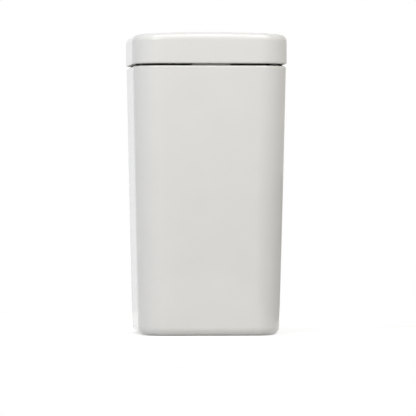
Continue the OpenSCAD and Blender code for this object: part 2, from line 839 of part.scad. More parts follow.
module valve_head() {
  low = tower_top_z - head_hidden;
  plate_x = right_bracket_x + bracket_t / 2;
  color("white")
    difference() {
      union() {
        translate([0, 0, low]) cylinder(r = head_r, h = bridge_z - bridge_t + cut - low);
        translate([0, 0, bridge_z - bridge_t]) cylinder(r = tower_r, h = bridge_t);
        translate([left_bracket_x - bracket_t / 2, 0, bridge_z - bridge_t])
          cube([plate_x - left_bracket_x + bracket_t / 2, pivot_y + bracket_d / 2, bridge_t]);
        for (x = bracket_xs)
          translate([x - bracket_t / 2, pivot_y - bracket_d / 2, bridge_z - cut])
            cube([bracket_t, bracket_d, pivot_z - bridge_z + bracket_d / 2 + cut]);
      }
      translate([0, 0, low - cut]) cylinder(r = head_r - head_t, h = bridge_z - bridge_t - low + cut);
      translate([0, 0, bridge_z - bridge_t - cut])
        cylinder(r = overflow_r + 2 * play, h = bridge_t + 2 * cut);
      translate([left_bracket_x - bracket_t, pivot_y, pivot_z])
        rotate([0, 90, 0]) cylinder(r = pin_r + pin_play, h = plate_x - left_bracket_x + 2 * bracket_t);
    }
}

module overflow_stem() {
  low = seat_z - retainer_t;
  collar_z = bridge_z + hook_t + play;
  top = collar_z + hook_t + hook_t / 2;
  x0 = left_bracket_x + bracket_t / 2 + 2 * play;
  x1 = mid_bracket_x - bracket_t / 2 - 2 * play;
  color("white")
    difference() {
      union() {
        translate([0, 0, low]) cylinder(r = overflow_r, h = top - low);
        translate([0, 0, seat_z + seal_t]) cylinder(r = outlet_r + seal_lap, h = stem_foot_t);
        translate([0, 0, collar_z]) cylinder(r = collar_r, h = hook_t);
        hook(x0, x1, collar_z);
      }
      translate([0, 0, low - cut]) cylinder(r = overflow_r - overflow_t, h = top - low + 2 * cut);
    }
}

module flush_seal() {
  color("firebrick")
    ring(outlet_r + seat_w + seal_lap, overflow_r + thread_play, seat_z, seat_z + seal_t);
}

module seal_retainer() {
  color("white")
    ring((outlet_r + overflow_r) / 2, overflow_r + thread_play, seat_z - retainer_t, seat_z);
}

module stem_float() {
  color("lightblue")
    ring(stem_float_r, overflow_r + thread_play, stem_float_z, stem_float_z + stem_float_h);
}

module half_yoke() {
  x0 = mid_bracket_x + bracket_t / 2 + 2 * play;
  x1 = right_bracket_x - bracket_t / 2 - 2 * play;
  color("lightblue")
    difference() {
      union() {
        translate([0, 0, bridge_z]) cylinder(r = collar_r, h = hook_t);
        hook(x0, x1, bridge_z);
      }
      translate([0, 0, bridge_z - cut]) cylinder(r = overflow_r + play, h = hook_t + 2 * cut);
    }
}

module full_rocker() {
  color("royalblue")
    rocker(-full_stem_x, left_bracket_x + bracket_t / 2 + play, mid_bracket_x - bracket_t / 2 - play);
}

module half_rocker() {
  color("lightblue")
    rocker(half_stem_x, mid_bracket_x + bracket_t / 2 + play, right_bracket_x - bracket_t / 2 - play);
}

module rocker_pin() {
  x0 = left_bracket_x - bracket_t / 2;
  x1 = right_bracket_x + bracket_t / 2;
  color("silver")
    translate([0, pivot_y, pivot_z])
      rotate([0, 90, 0]) {
        translate([0, 0, x0 - pin_head_t]) cylinder(r = pin_r, h = x1 - x0 + 2 * pin_head_t);
        translate([0, 0, x0 - pin_head_t]) cylinder(r = pin_r * 1.5, h = pin_head_t);
        translate([0, 0, x1]) cylinder(r = pin_r * 1.5, h = pin_head_t);
      }
}

// Fill valve

module fill_valve() {
  waist_z = recess_h - inlet_nut_h - 2;
  pocket_r = cap_r - ear_t - play;
  color("white")
    at_fill()
      difference() {
        union() {
          translate([0, 0, shank_end_z]) cylinder(r = shank_r, h = waist_z - shank_end_z);
          translate([0, 0, waist_z]) cylinder(r = shank_r - thread_play, h = base_z - waist_z);
          translate([0, 0, base_z]) cylinder(r = shank_flange_r, h = flange_t);
          translate([0, 0, base_top_z]) cylinder(r = riser_r, h = chamber_z - base_top_z);
          translate([0, 0, float_z - play - float_t]) cylinder(r = riser_r + 2 * float_t, h = float_t);
          translate([0, 0, chamber_z]) cylinder(r = chamber_r, h = chamber_h);
        }
        translate([0, 0, shank_end_z - cut])
          cylinder(r = inlet_r, h = chamber_z + chamber_h / 2 - shank_end_z + cut);
        translate([0, 0, chamber_z]) cylinder(r = inlet_r / 2, h = chamber_h + cut);
        translate([0, 0, cap_z - diaphragm_t]) cylinder(r = pocket_r, h = diaphragm_t + cut);
      }
}

module inlet_washer() {
  color("dimgray") at_fill() ring(shank_flange_r, shank_r + thread_play, floor_z, base_z);
}

module inlet_nut() {
  color("white")
    at_fill()
      translate([0, 0, recess_h - inlet_nut_h])
        lobed_nut(shank_r + thread_play, inlet_nut_t, inlet_nut_h, 6, 1.8);
}

// Cap with two ears behind it that carry the float arm
module fill_cap() {
  ear_x = arm_w / 2 + play;
  color("royalblue")
    at_fill()
      difference() {
        union() {
          translate([0, 0, cap_z]) cylinder(r = cap_r, h = cap_t);
          for (side = [-1, 1])
            translate([side > 0 ? ear_x : -ear_x - ear_t, cap_r / 2, cap_z])
              cube([ear_t, arm_back + 4 - cap_r / 2, cap_t + arm_lift + 4]);
        }
        translate([-cap_r, arm_back, arm_z])
          rotate([0, 90, 0]) cylinder(r = arm_pin_r + pin_play, h = 2 * cap_r);
      }
}

module fill_diaphragm() {
  color("dimgray")
    at_fill()
      translate([0, 0, cap_z - diaphragm_t]) cylinder(r = cap_r - ear_t - 2 * play, h = diaphragm_t);
}

// Float that is open below, with a boss for the link rod
module float_cup() {
  bore = riser_r + 2 * play;
  color("lightblue")
    at_fill()
      difference() {
        union() {
          difference() {
            translate([0, 0, float_z]) cylinder(r = float_r, h = float_h);
            difference() {
              translate([0, 0, float_z - cut]) cylinder(r = float_r - float_t, h = float_h - float_t + cut);
              translate([0, 0, float_z - 2 * cut]) cylinder(r = bore + float_t, h = float_h + 2 * cut);
            }
          }
          translate([0, -link_reach, float_top_z - float_t])
            cylinder(r = link_r + 0.8 * float_t, h = 3 * float_t);
        }
        translate([0, 0, float_z - 2 * cut]) cylinder(r = bore, h = float_h + 4 * cut);
        translate([0, -link_reach, float_top_z - float_t - cut])
          cylinder(r = link_r + pin_play, h = 3 * float_t + 2 * cut);
      }
}

// Link rod with a collar under the arm's fork and one over it
module float_link() {
  color("white")
    at_fill()
      translate([0, -link_reach, 0]) {
        translate([0, 0, float_top_z - float_t])
          cylinder(r = link_r, h = link_z + fork_room + 8 - float_top_z + float_t);
        translate([0, 0, link_z - fork_room - 3]) cylinder(r = 2 * link_r, h = 3);
        translate([0, 0, link_z + fork_room]) cylinder(r = 2 * link_r, h = 3);
      }
}

// Arm with a fork on the link rod and a nose that shuts the pilot hole behind the cap
module float_arm() {
  slot_w = 2 * (link_r + 2 * play);
  color("royalblue")
    at_fill()
      translate([0, arm_back, arm_z])
        rotate([arm_tilt, 0, 0])
          difference() {
            union() {
              translate([-arm_w / 2, -arm_len - 6, -arm_t / 2]) cube([arm_w, arm_len + 6, arm_t]);
              translate([-arm_w / 2, 0, 0]) rotate([0, 90, 0]) cylinder(r = 4, h = arm_w);
              translate([-arm_w / 4, nose_y, -nose_drop - 2]) cube([arm_w / 2, 3.6, nose_drop + 2]);
            }
            translate([-slot_w / 2, -arm_len - 6 - cut, -arm_t])
              cube([slot_w, 11 + cut, 2 * arm_t]);
            translate([-arm_w, 0, 0]) rotate([0, 90, 0]) cylinder(r = arm_pin_r + pin_play, h = 2 * arm_w);
          }
}

module arm_pin() {
  half = arm_w / 2 + play + ear_t;
  color("silver")
    at_fill()
      translate([-half - pin_head_t, arm_back, arm_z])
        rotate([0, 90, 0]) {
          cylinder(r = arm_pin_r, h = 2 * half + 2 * pin_head_t);
          cylinder(r = arm_pin_r * 1.6, h = pin_head_t);
          translate([0, 0, 2 * half + pin_head_t]) cylinder(r = arm_pin_r * 1.6, h = pin_head_t);
        }
}

// Coupling kit

module coupling_bolts() {
  waist_z = recess_h - plate_t - nut_h - 2;
  color("goldenrod")
    at_bolts() {
      translate([0, 0, bolt_clear]) cylinder(r = bolt_r, h = waist_z - bolt_clear);
      translate([0, 0, waist_z - cut]) cylinder(r = bolt_r - thread_play, h = base_z - waist_z + 2 * cut);
      translate([0, 0, base_z]) cylinder(r = bolt_head_r, h = bolt_head_t);
    }
}

module cone_washers() {
  plug_r = bolt_r + hole_play - thread_play;
  color("dimgray")
    at_bolts()
      rotate_extrude()
        polygon([
          [bolt_r + thread_play, floor_z - cone_depth],
          [(bolt_r + thread_play + plug_r) / 2, floor_z - cone_depth],
          [plug_r, floor_z],
          [cone_r, floor_z],
          [cone_r, base_z],
          [bolt_r + thread_play, base_z]
        ]);
}

module plate_washers() {
  color("goldenrod")
    at_bolts() ring(plate_r, bolt_r + thread_play, recess_h - plate_t, recess_h);
}

module coupling_nuts() {
  top = recess_h - plate_t;
  color("goldenrod")
    at_bolts()
      difference() {
        translate([0, 0, top - nut_h]) cylinder(r = nut_af / 2 / cos(30), h = nut_h, $fn = 6);
        translate([0, 0, top - nut_h - cut]) cylinder(r = bolt_r + thread_play, h = nut_h + 2 * cut);
      }
}

cistern_body();
cistern_lid();
lid_pads();
button_bezel();
button_gasket();
button_nut();
button_guide();
full_button();
half_button();
full_spring();
half_spring();
full_rod();
half_rod();
valve_base();
outlet_washer();
outlet_nut();
coupling_foam();
valve_tower();
valve_head();
overflow_stem();
flush_seal();
seal_retainer();
stem_float();
half_yoke();
full_rocker();
half_rocker();
rocker_pin();
fill_valve();
inlet_washer();
inlet_nut();
fill_cap();
fill_diaphragm();
float_cup();
float_link();
float_arm();
arm_pin();
coupling_bolts();
cone_washers();
plate_washers();
coupling_nuts();
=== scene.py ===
# %% [markdown]
# # A push-button toilet cistern
# The construction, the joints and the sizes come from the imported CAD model, which is loaded
# here as a fixed frame. Blender adds what the eye needs: glazed china with soft edges, chrome,
# moulded plastic, rubber, brass, and the light of a small photo studio.
# Numbers below are in millimetres, as on a drawing, and turn into metres when a mesh is made.
# The camera, the floor and the lamps are in metres from the start.

# %% The frame
import json
import math

import bmesh
import bpy
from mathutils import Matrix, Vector


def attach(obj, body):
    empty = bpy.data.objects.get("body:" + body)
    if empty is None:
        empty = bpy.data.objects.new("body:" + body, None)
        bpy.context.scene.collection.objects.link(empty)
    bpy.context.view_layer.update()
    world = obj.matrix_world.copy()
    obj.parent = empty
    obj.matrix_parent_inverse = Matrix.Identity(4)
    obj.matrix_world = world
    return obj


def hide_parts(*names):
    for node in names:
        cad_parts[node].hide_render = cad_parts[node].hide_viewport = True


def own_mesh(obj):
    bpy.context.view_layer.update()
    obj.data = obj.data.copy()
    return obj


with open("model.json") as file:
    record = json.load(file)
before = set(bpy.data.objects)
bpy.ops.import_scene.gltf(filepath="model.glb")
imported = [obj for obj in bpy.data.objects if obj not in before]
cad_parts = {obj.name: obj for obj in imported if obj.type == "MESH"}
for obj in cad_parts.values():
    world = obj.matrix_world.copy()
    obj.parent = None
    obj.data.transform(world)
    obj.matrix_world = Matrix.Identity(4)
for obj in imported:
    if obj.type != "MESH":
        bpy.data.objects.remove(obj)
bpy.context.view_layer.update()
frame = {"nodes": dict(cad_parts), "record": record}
nodes = frame["nodes"]
MM = 0.001

# %% [markdown]
# ## Camera
# The cistern was photographed from far away with a long lens, a few degrees to the left of its
# front and at about half its height. So its edges stay almost parallel, and only a thin strip of
# the left side shows. A camera can be placed by eye, but an aim point and a distance are easier
# to correct, one number at a time.

# %% The camera
AIM = Vector((2.5, 0, 164)) * MM
YAW = math.radians(4.8)
DISTANCE, EYE = 5.4, 187 * MM
SENSOR, LENS = 36, 358.9


def put(name, data):
    """New object in the scene."""
    made = bpy.data.objects.new(name, data)
    bpy.context.collection.objects.link(made)
    return made


def face_to(thing, point):
    """Turns a camera or a lamp towards a point."""
    thing.rotation_euler = (Vector(point) - thing.location).to_track_quat("-Z", "Y").to_euler()


camera = put("camera", bpy.data.cameras.new("camera"))
camera.location = (AIM.x - DISTANCE * math.sin(YAW), -DISTANCE * math.cos(YAW), EYE)
face_to(camera, AIM)
camera.data.sensor_width = SENSOR
camera.data.lens = LENS
bpy.context.scene.camera = camera
bpy.context.scene.view_settings.view_transform = "Standard"
print("camera at", [round(c, 3) for c in camera.location])

# %% [markdown]
# ## Shader nodes
# Light and finishes are both small networks of nodes. Adding a node and joining two sockets takes
# a line each, so a few helpers keep the recipes below short. The last one sorts rays by what they
# come from: the light path is how a floor can look white to the camera and still light the china
# like pale paper.

# %% Helpers for nodes
def new(tree, kind):
    return tree.nodes.new("ShaderNode" + kind)


def link(tree, a, out, b, into):
    tree.links.new(a.outputs[out], b.inputs[into])


def combined(tree, how, a, a_out, b, b_out):
    """Two numbers worked into one."""
    made = new(tree, "Math")
    made.operation = how
    link(tree, a, a_out, made, 0)
    link(tree, b, b_out, made, 1)
    return made


def ramp(tree, stops):
    """Colours at places from 0 to 1, with soft steps between them."""
    made = new(tree, "ValToRGB")
    for i, (place, colour) in enumerate(stops):
        elements = made.color_ramp.elements
        stop = elements[i] if i < 2 else elements.new(place)
        stop.position = place
        stop.color = (*colour, 1)
    return made


def sorted_rays(tree):
    """The light path, a factor for rays of mirrors and glass, and one for these and the camera's."""
    rays = new(tree, "LightPath")
    shiny = combined(tree, "MAXIMUM", rays, "Is Glossy Ray", rays, "Is Transmission Ray")
    sharp = combined(tree, "MAXIMUM", rays, "Is Camera Ray", shiny, 0)
    return rays, shiny, sharp


print("node helpers:", [f.__name__ for f in (new, link, combined, ramp, sorted_rays)])

# %% [markdown]
# ## Studio
# White china on a white ground is drawn by what it mirrors. The camera itself sees plain white
# all round, but mirrors see walls: white on the left, greyer and warmer on the right, under a
# grey ceiling, so that the chrome and the lid's upper edge have something to show. The light that
# falls on matt surfaces is softer, cool from the left and warm from the right. A world could be a
# picture of a studio, but ramps over the ray's direction do the same with a few colours.

# %% Colours over the ray's direction
WHITE = (1, 1, 1)
WHITE_WALL, GREY_WALL, WARM_WALL = (0.95, 0.95, 0.95), (0.83, 0.84, 0.85), (0.62, 0.59, 0.55)
GREY_CEILING = (0.5, 0.51, 0.53)
COOL_AIR, PLAIN_AIR, WARM_AIR = (0.86, 0.93, 1), (1, 0.98, 0.95), (0.98, 0.93, 0.87)

room = bpy.data.worlds.new("room")
bpy.context.scene.world = room
room.use_nodes = True
tree = room.node_tree
tree.nodes.clear()
axes = new(tree, "SeparateXYZ")
link(tree, new(tree, "TexCoord"), "Generated", axes, 0)


def tinted(axis, stops):
    """Colour that changes along one axis of the ray's direction, from -1 to 1."""
    span = new(tree, "MapRange")
    span.inputs["From Min"].default_value = -1
    colours = ramp(tree, stops)
    link(tree, axes, axis, span, 0)
    link(tree, span, 0, colours, 0)
    return colours


walls = tinted("X", [(0, WHITE_WALL), (0.5, WHITE_WALL), (0.54, GREY_WALL), (0.66, WARM_WALL)])
ceiling = tinted("Z", [(0, WHITE), (0.58, WHITE), (0.8, GREY_CEILING)])
ambient = tinted("X", [(0, COOL_AIR), (0.5, PLAIN_AIR), (1, WARM_AIR)])
mirrored = new(tree, "VectorMath")
mirrored.operation = "MULTIPLY"
link(tree, walls, 0, mirrored, 0)
link(tree, ceiling, 0, mirrored, 1)
print("ramps:", sum(node.type == "VALTORGB" for node in tree.nodes))

# %% The room
SOFT_LIGHT = 0.52


def ground(strength, colour=None):
    """Background of the world, white where no colour is given."""
    made = new(tree, "Background")
    made.inputs["Strength"].default_value = strength
    made.inputs["Color"].default_value = (*WHITE, 1)
    if colour:
        link(tree, colour, 0, made, "Color")
    return made


def mixed(factor, out, first, second):
    """First background where the factor is 0, second where it is 1."""
    made = new(tree, "MixShader")
    link(tree, factor, out, made, 0)
    link(tree, first, 0, made, 1)
    link(tree, second, 0, made, 2)
    return made


rays, shiny, _ = sorted_rays(tree)
unseen = mixed(shiny, 0, ground(SOFT_LIGHT, ambient), ground(1, mirrored))
whole = mixed(rays, "Is Camera Ray", unseen, ground(1))
link(tree, whole, 0, new(tree, "OutputWorld"), 0)
print("room:", len(tree.nodes), "nodes")

# %% [markdown]
# ## Floor
# The floor is a round sheet of pale paper. It glows a little for the camera, so that it looks
# white, and the light of the lamps is added to that, so that it keeps the foot's soft shadow. A
# plain white floor would need more lamp light, and that would burn out the china.

# %% The floor
PAPER_R, PAPER_SIDES, PAPER_GREY, GLOW = 0.9, 96, 0.62, 0.56
around = [2 * math.pi * i / PAPER_SIDES for i in range(PAPER_SIDES)]
rim = [(PAPER_R * math.cos(a), PAPER_R * math.sin(a), 0) for a in around]
sheet = bpy.data.meshes.new("floor")
sheet.from_pydata(rim, [], [range(PAPER_SIDES)])
floor = put("floor", sheet)
paper = bpy.data.materials.new("floor_paper")
paper.use_nodes = True
tree = paper.node_tree
tree.nodes.clear()
matt = new(tree, "BsdfDiffuse")
matt.inputs["Color"].default_value = (PAPER_GREY, PAPER_GREY, PAPER_GREY, 1)
share = new(tree, "Math")
share.operation = "MULTIPLY"
share.inputs[1].default_value = GLOW
link(tree, sorted_rays(tree)[2], 0, share, 0)
glow = new(tree, "Emission")
link(tree, share, 0, glow, "Strength")
both = new(tree, "AddShader")
link(tree, matt, 0, both, 0)
link(tree, glow, 0, both, 1)
link(tree, both, 0, new(tree, "OutputMaterial"), 0)
sheet.materials.append(paper)
print("floor:", 2 * PAPER_R, "m across")

# %% [markdown]
# ## Lamps
# One large lamp stands in front on the left, one hangs over the camera and draws a thin line along
# the rim, one hangs over the lid, and one behind on the right is for the back. The bright band
# along the lid's upper edge is the mirror image of a lamp, so the edge lamp is for mirrors alone:
# it draws the band and leaves the lid's top its colour. A grey card stands low on the right, out
# of the camera's sight, and darkens the right-hand corner towards the foot. Spot lamps would be
# easier to aim, but wide panels give the soft edges that a photo studio gives.

# %% The lamps
MIDDLE, LOWER = (0, 0, 0.3), (0, 0, 0.2)
CREAM = (1, 0.97, 0.93)


def lamp(name, place, size, watts, colour=WHITE, towards=MIDDLE):
    """Panel of light, size = (width, height) in metres."""
    light = bpy.data.lights.new(name, "AREA")
    light.shape = "RECTANGLE"
    light.size, light.size_y = size
    light.energy = watts
    light.color = colour
    made = put(name, light)
    made.location = place
    face_to(made, towards)
    return made


lamp("left_lamp", (-1.2, -2.0, 1.5), (1.2, 1.3), watts=17.2, colour=CREAM)
lamp("brow_lamp", (0.2, -1.0, 1.65), (2.0, 0.8), watts=8.4)
lamp("top_lamp", (0, -0.5, 1.65), (1.4, 0.5), watts=3)
lamp("edge_lamp", (0, -0.5, 1.6), (1.4, 0.5), watts=9).visible_diffuse = False
lamp("back_lamp", (1.25, 1.5, 1.0), (1.4, 1.0), watts=6.5, towards=LOWER).visible_glossy = False

# %% The grey card
CARD_X, CARD_FRONT, CARD_BACK, CARD_TOP = 0.3, -0.6, 0.35, 0.2
CARD_GREY = (0.56, 0.535, 0.505)
corners = [(CARD_FRONT, 0), (CARD_BACK, 0), (CARD_BACK, CARD_TOP), (CARD_FRONT, CARD_TOP)]
card_mesh = bpy.data.meshes.new("grey_card")
card_mesh.from_pydata([(CARD_X, y, z) for y, z in corners], [], [range(len(corners))])
card = put("grey_card", card_mesh)
card.visible_camera = False
card.visible_shadow = False
grey = bpy.data.materials.new("card_grey")
grey.use_nodes = True
grey.node_tree.nodes["Principled BSDF"].inputs["Base Color"].default_value = (*CARD_GREY, 1)
card_mesh.materials.append(grey)
print("card:", round(CARD_BACK - CARD_FRONT, 2), "by", CARD_TOP, "m")

# %% [markdown]
# ## Finishes
# Each finish is one Principled shader with three textures in it: a slow drift of the colour, a
# fine unevenness of the gloss, and a bump at the scale of the real surface. A photo texture could
# bring these too, but noise has no seams and needs no unwrapping. What is the same all over the
# surface is written on the shader itself.

# %% Noise
NOISE_LOW, NOISE_HIGH, NOISE_DETAIL = 0.3, 0.7, 3
EVEN = (1, 1, 1)


def drift(tree, scale, low, high, stretch=EVEN, cells=False):
    """Noise, or round cells, in the object's own metres, spread from low to high."""
    size = new(tree, "Mapping")
    size.inputs["Scale"].default_value = stretch
    noise = new(tree, "TexVoronoi" if cells else "TexNoise")
    noise.inputs["Scale"].default_value = scale
    noise.inputs["Detail"].default_value = 0 if cells else NOISE_DETAIL
    spread = new(tree, "MapRange")
    ends = {"From Min": NOISE_LOW, "From Max": NOISE_HIGH, "To Min": low, "To Max": high}
    for socket, value in ends.items():
        spread.inputs[socket].default_value = value
    link(tree, new(tree, "TexCoord"), "Object", size, 0)
    link(tree, size, 0, noise, 0)
    link(tree, noise, 0, spread, 0)
    return spread


print("noise from", NOISE_LOW, "to", NOISE_HIGH, "fills the whole spread")

# %% The china's finishes
COLOUR_SCALE = 22


def finish(name, pale, dark, gloss, grain, stretch=EVEN, cells=False, **sockets):
    """pale and dark are the colours that drift, gloss is (least, most, scale) of the roughness,
    and grain is (scale, height in mm) of the bump."""
    made = bpy.data.materials.new(name)
    made.use_nodes = True
    tree = made.node_tree
    shader = tree.nodes["Principled BSDF"]
    least, most, gloss_scale = gloss
    grain_scale, height = grain
    colour = ramp(tree, [(0, dark), (1, pale)])
    link(tree, drift(tree, COLOUR_SCALE, 0, 1), 0, colour, 0)
    link(tree, colour, 0, shader, "Base Color")
    link(tree, drift(tree, gloss_scale, least, most, stretch), 0, shader, "Roughness")
    bump = new(tree, "Bump")
    bump.inputs["Distance"].default_value = height * MM
    link(tree, drift(tree, grain_scale, 0, 1, stretch, cells), 0, bump, "Height")
    link(tree, bump, 0, shader, "Normal")
    for socket, value in sockets.items():
        shader.inputs[socket].default_value = value
    return made


glaze = finish("china_glaze", pale=(0.83, 0.828, 0.815), dark=(0.815, 0.812, 0.8),
               gloss=(0.04, 0.1, 60), grain=(55, 0.02))
bisque = finish("china_bisque", pale=(0.76, 0.74, 0.705), dark=(0.67, 0.65, 0.615),
                gloss=(0.7, 0.95, 400), grain=(900, 0.12))
print("finishes:", glaze.name, bisque.name)

# %% [markdown]
# ## Rings and skins
# Slip-cast china has no sharp corner anywhere: plaster moulds and the glaze round them all. So
# the tank and the lid are lofts, skins stretched over a stack of rings, with extra rings where
# an edge is rounded. A subdivided box could be pulled into the same shape, but rings keep the
# real radii.

# %% Rings
ARC, SIDE = 14, 10
STEPS = [i / 6 for i in range(7)]


def china_ring(half, front, back, r_front, r_back, z):
    """Rounded rectangle seen from above; r_back rounds the two corners at the wall."""
    corners = [(half - r_back, back - r_back, r_back, 0),
               (r_back - half, back - r_back, r_back, 90),
               (r_front - half, front + r_front, r_front, 180),
               (half - r_front, front + r_front, r_front, 270)]
    turns = []
    for x, y, r, start in corners:
        angles = [math.radians(start + 90 * i / ARC) for i in range(ARC + 1)]
        turns.append([(x + r * math.cos(a), y + r * math.sin(a), z) for a in angles])
    points = []
    for turn, after in zip(turns, turns[1:] + turns[:1]):
        points += turn
        a, b = Vector(turn[-1]), Vector(after[0])
        points += [tuple(a.lerp(b, i / SIDE)) for i in range(1, SIDE)]
    return points


def quarter(r):
    """Inset and drop along a quarter round, from its flat end to its upright end."""
    angles = [t * math.pi / 2 for t in STEPS]
    return [(r * (1 - math.sin(a)), r * (1 - math.cos(a))) for a in angles]


print("ring points:", 4 * (ARC + SIDE))

# %% Skins
def skin(name, rings, loop=False):
    """Mesh over a stack of rings in mm, closed by caps, or into itself with loop."""
    bm = bmesh.new()
    rows = [[bm.verts.new(Vector(p) * MM) for p in r] for r in rings]
    for low, high in zip(rows, rows[1:] + (rows[:1] if loop else [])):
        for i in range(len(low)):
            bm.faces.new((low[i - 1], low[i], high[i], high[i - 1]))
    if not loop:
        bm.faces.new(rows[0][::-1])
        bm.faces.new(rows[-1])
    bmesh.ops.recalc_face_normals(bm, faces=bm.faces)
    mesh = bpy.data.meshes.new(name)
    bm.to_mesh(mesh)
    bm.free()
    return put(name, mesh)


print("loft helper:", skin.__name__)

# %% Joining and carving
def joined(name, pieces):
    """One piece out of several shells."""
    bm = bmesh.new()
    for piece in pieces:
        bm.from_mesh(piece.data)
        bpy.data.objects.remove(piece)
    mesh = bpy.data.meshes.new(name)
    bm.to_mesh(mesh)
    bm.free()
    return put(name, mesh)


def carve(piece, others, how="DIFFERENCE"):
    """Takes others away from the piece, or adds them to it with UNION, so no face is left inside."""
    for other in others:
        step = piece.modifiers.new("carve", "BOOLEAN")
        step.operation = how
        step.object = other
        step.solver = "EXACT"
    bpy.context.view_layer.update()
    shaped = piece.evaluated_get(bpy.context.evaluated_depsgraph_get())
    mesh = bpy.data.meshes.new_from_object(shaped)
    piece.modifiers.clear()
    piece.data = mesh
    for other in others:
        bpy.data.objects.remove(other)
    return piece


print("mesh helpers:", [f.__name__ for f in (joined, carve)])

# %% Shading and riding
CHINA_SHARP, LOOKS_DOWN = 35, -0.9


def smooth(piece, degrees=CHINA_SHARP):
    """Soft shading across small angles, and flat faces that stay flat beside their roundings."""
    piece.data.shade_smooth()
    piece.data.set_sharp_from_angle(angle=math.radians(degrees))
    piece.modifiers.new("flats", "WEIGHTED_NORMAL").keep_sharp = True


def dress(piece, body, slot, *materials, replaces=()):
    """Gives a piece its finishes and lets it ride on a body. The slot is not used."""
    for material in materials:
        piece.data.materials.append(material)
    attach(piece, body)
    if replaces:
        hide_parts(*replaces)
    print(piece.name, "rides", body + ":", len(piece.data.polygons), "faces")


def unglaze(piece, level, within):
    """Gives the faces that look down at one level the piece's second, unglazed finish."""
    for face in piece.data.polygons:
        near = abs(face.center.z - level * MM) < within * MM
        face.material_index = 1 if near and face.normal.z < LOOKS_DOWN else 0
    print("unglazed faces:", sum(face.material_index for face in piece.data.polygons))


print("edges stay sharp from", CHINA_SHARP, "degrees on china")

# %% [markdown]
# ## Tank
# The tank is cast in one piece: walls that draw in towards the foot, a floor with three kinds of
# holes, and under the floor a hollow that hides the couplings. Its walls belly out by less than a
# millimetre, as fired china does. The stack of rings starts at the hollow's ceiling, runs down
# its walls, round the foot, up the outside, over the rim and down to the floor inside.

# %% The tank's measures
RIM, FLOOR, HOLLOW, BACK = 347, 58, 46, 90
TANK_HALF, SIDE_TAPER, TANK_FRONT, FRONT_TAPER = 99, 7.8, -89, 11
FRONT_R, BACK_R, LEAST_R, WALL, BELLY = 38, 18, 3, 10, 0.3
FOOT_R, FOOT_LIP_R, RIM_R, RIM_INNER_R, INNER_R = 11, 1.5, 2.5, 1.5, 8
HOLLOW_HALF, HOLLOW_BACK, HOLLOW_FRONT_R, HOLLOW_BACK_R, HOLLOW_TOP_R = 73.2, 71, 19, 5, 4
FOOT_W = 19


def half_w(z):
    return TANK_HALF - SIDE_TAPER * (1 - z / RIM)


def front_y(z):
    return TANK_FRONT + FRONT_TAPER * (1 - z / RIM)


def wall_ring(z, inset, level=None):
    """Ring of the tank's wall, drawn in by inset from the outline at a level, else at z."""
    level = z if level is None else level
    swell = BELLY * math.sin(math.pi * min(max(level / RIM, 0), 1))
    return china_ring(half_w(level) + swell - inset, front_y(level) - swell + inset, BACK - inset,
                      FRONT_R - inset, max(BACK_R - inset, LEAST_R), z)


def hollow_ring(z, inset=0.0):
    """Ring of the hollow under the floor."""
    return china_ring(HOLLOW_HALF - inset, front_y(z) + FOOT_W + inset, HOLLOW_BACK - inset,
                      HOLLOW_FRONT_R - inset, max(HOLLOW_BACK_R - inset, 1), z)


print("half width at the foot:", half_w(0), "mm")

# %% The tank's skin
WALL_ROWS, INSIDE_ROWS = 14, 10
HOLLOW_CAP, FLOOR_CAP, RIM_INNER_DROP = 12, 26, 2
HOLLOW_LEVELS = (30, 15)
outer_top, inner_top, inner_low = RIM - RIM_R, RIM - RIM_INNER_DROP, FLOOR + INNER_R
outer_h, inner_h = outer_top - FOOT_R, inner_top - inner_low
hollow_top = quarter(HOLLOW_TOP_R)
lip_angles = [t * math.pi / 2 for t in STEPS]
foot_lip = [(FOOT_LIP_R * (math.cos(a) - 1), FOOT_LIP_R * (1 - math.sin(a))) for a in lip_angles]
rim_out, floor_edge = quarter(RIM_R)[:-1], quarter(INNER_R)[:-1]

stack = [hollow_ring(HOLLOW, HOLLOW_CAP)]
stack += [hollow_ring(HOLLOW - drop, inset) for inset, drop in hollow_top]
stack += [hollow_ring(z) for z in HOLLOW_LEVELS]
stack += [hollow_ring(z, inset) for inset, z in foot_lip]
stack += [wall_ring(drop, inset, FOOT_R) for inset, drop in quarter(FOOT_R)]
stack += [wall_ring(FOOT_R + outer_h * i / WALL_ROWS, 0) for i in range(1, WALL_ROWS + 1)]
stack += [wall_ring(RIM - drop, inset, outer_top) for inset, drop in reversed(rim_out)]
stack += [wall_ring(RIM - drop, WALL - inset, inner_top) for inset, drop in quarter(RIM_INNER_R)]
stack += [wall_ring(inner_top - inner_h * i / INSIDE_ROWS, WALL) for i in range(1, INSIDE_ROWS + 1)]
stack += [wall_ring(FLOOR + drop, WALL + inset, inner_low) for inset, drop in reversed(floor_edge)]
stack += [wall_ring(FLOOR, FLOOR_CAP, inner_low)]
tank = skin("tank_china", stack)
print("tank rings:", len(stack))

# %% [markdown]
# ## Holes in the tank
# The outlet, the inlet and the two bolts go through the floor, two screw holes through the back,
# and a notch under the back lets the supply pipe in. Holes in china are cut while it is damp and
# wiped with a sponge, so their mouths flare. Each cutter here is a turned plug with a trumpet at
# both ends, taken away with a boolean; a bevel afterwards would do it too, but less evenly.

# %% Cutters
FLARE_DEGREES = 80
PLUG_SIDES, PLUG_SPREAD, PLUG_PAST = 64, 2, 0.35


def trumpet(flare):
    """Widening and depth of a wiped mouth, from the straight hole out to the surface."""
    angles = [math.radians(FLARE_DEGREES * t) for t in STEPS]
    return [(flare * (1 - math.cos(a)), flare * (1 - math.sin(a))) for a in angles]


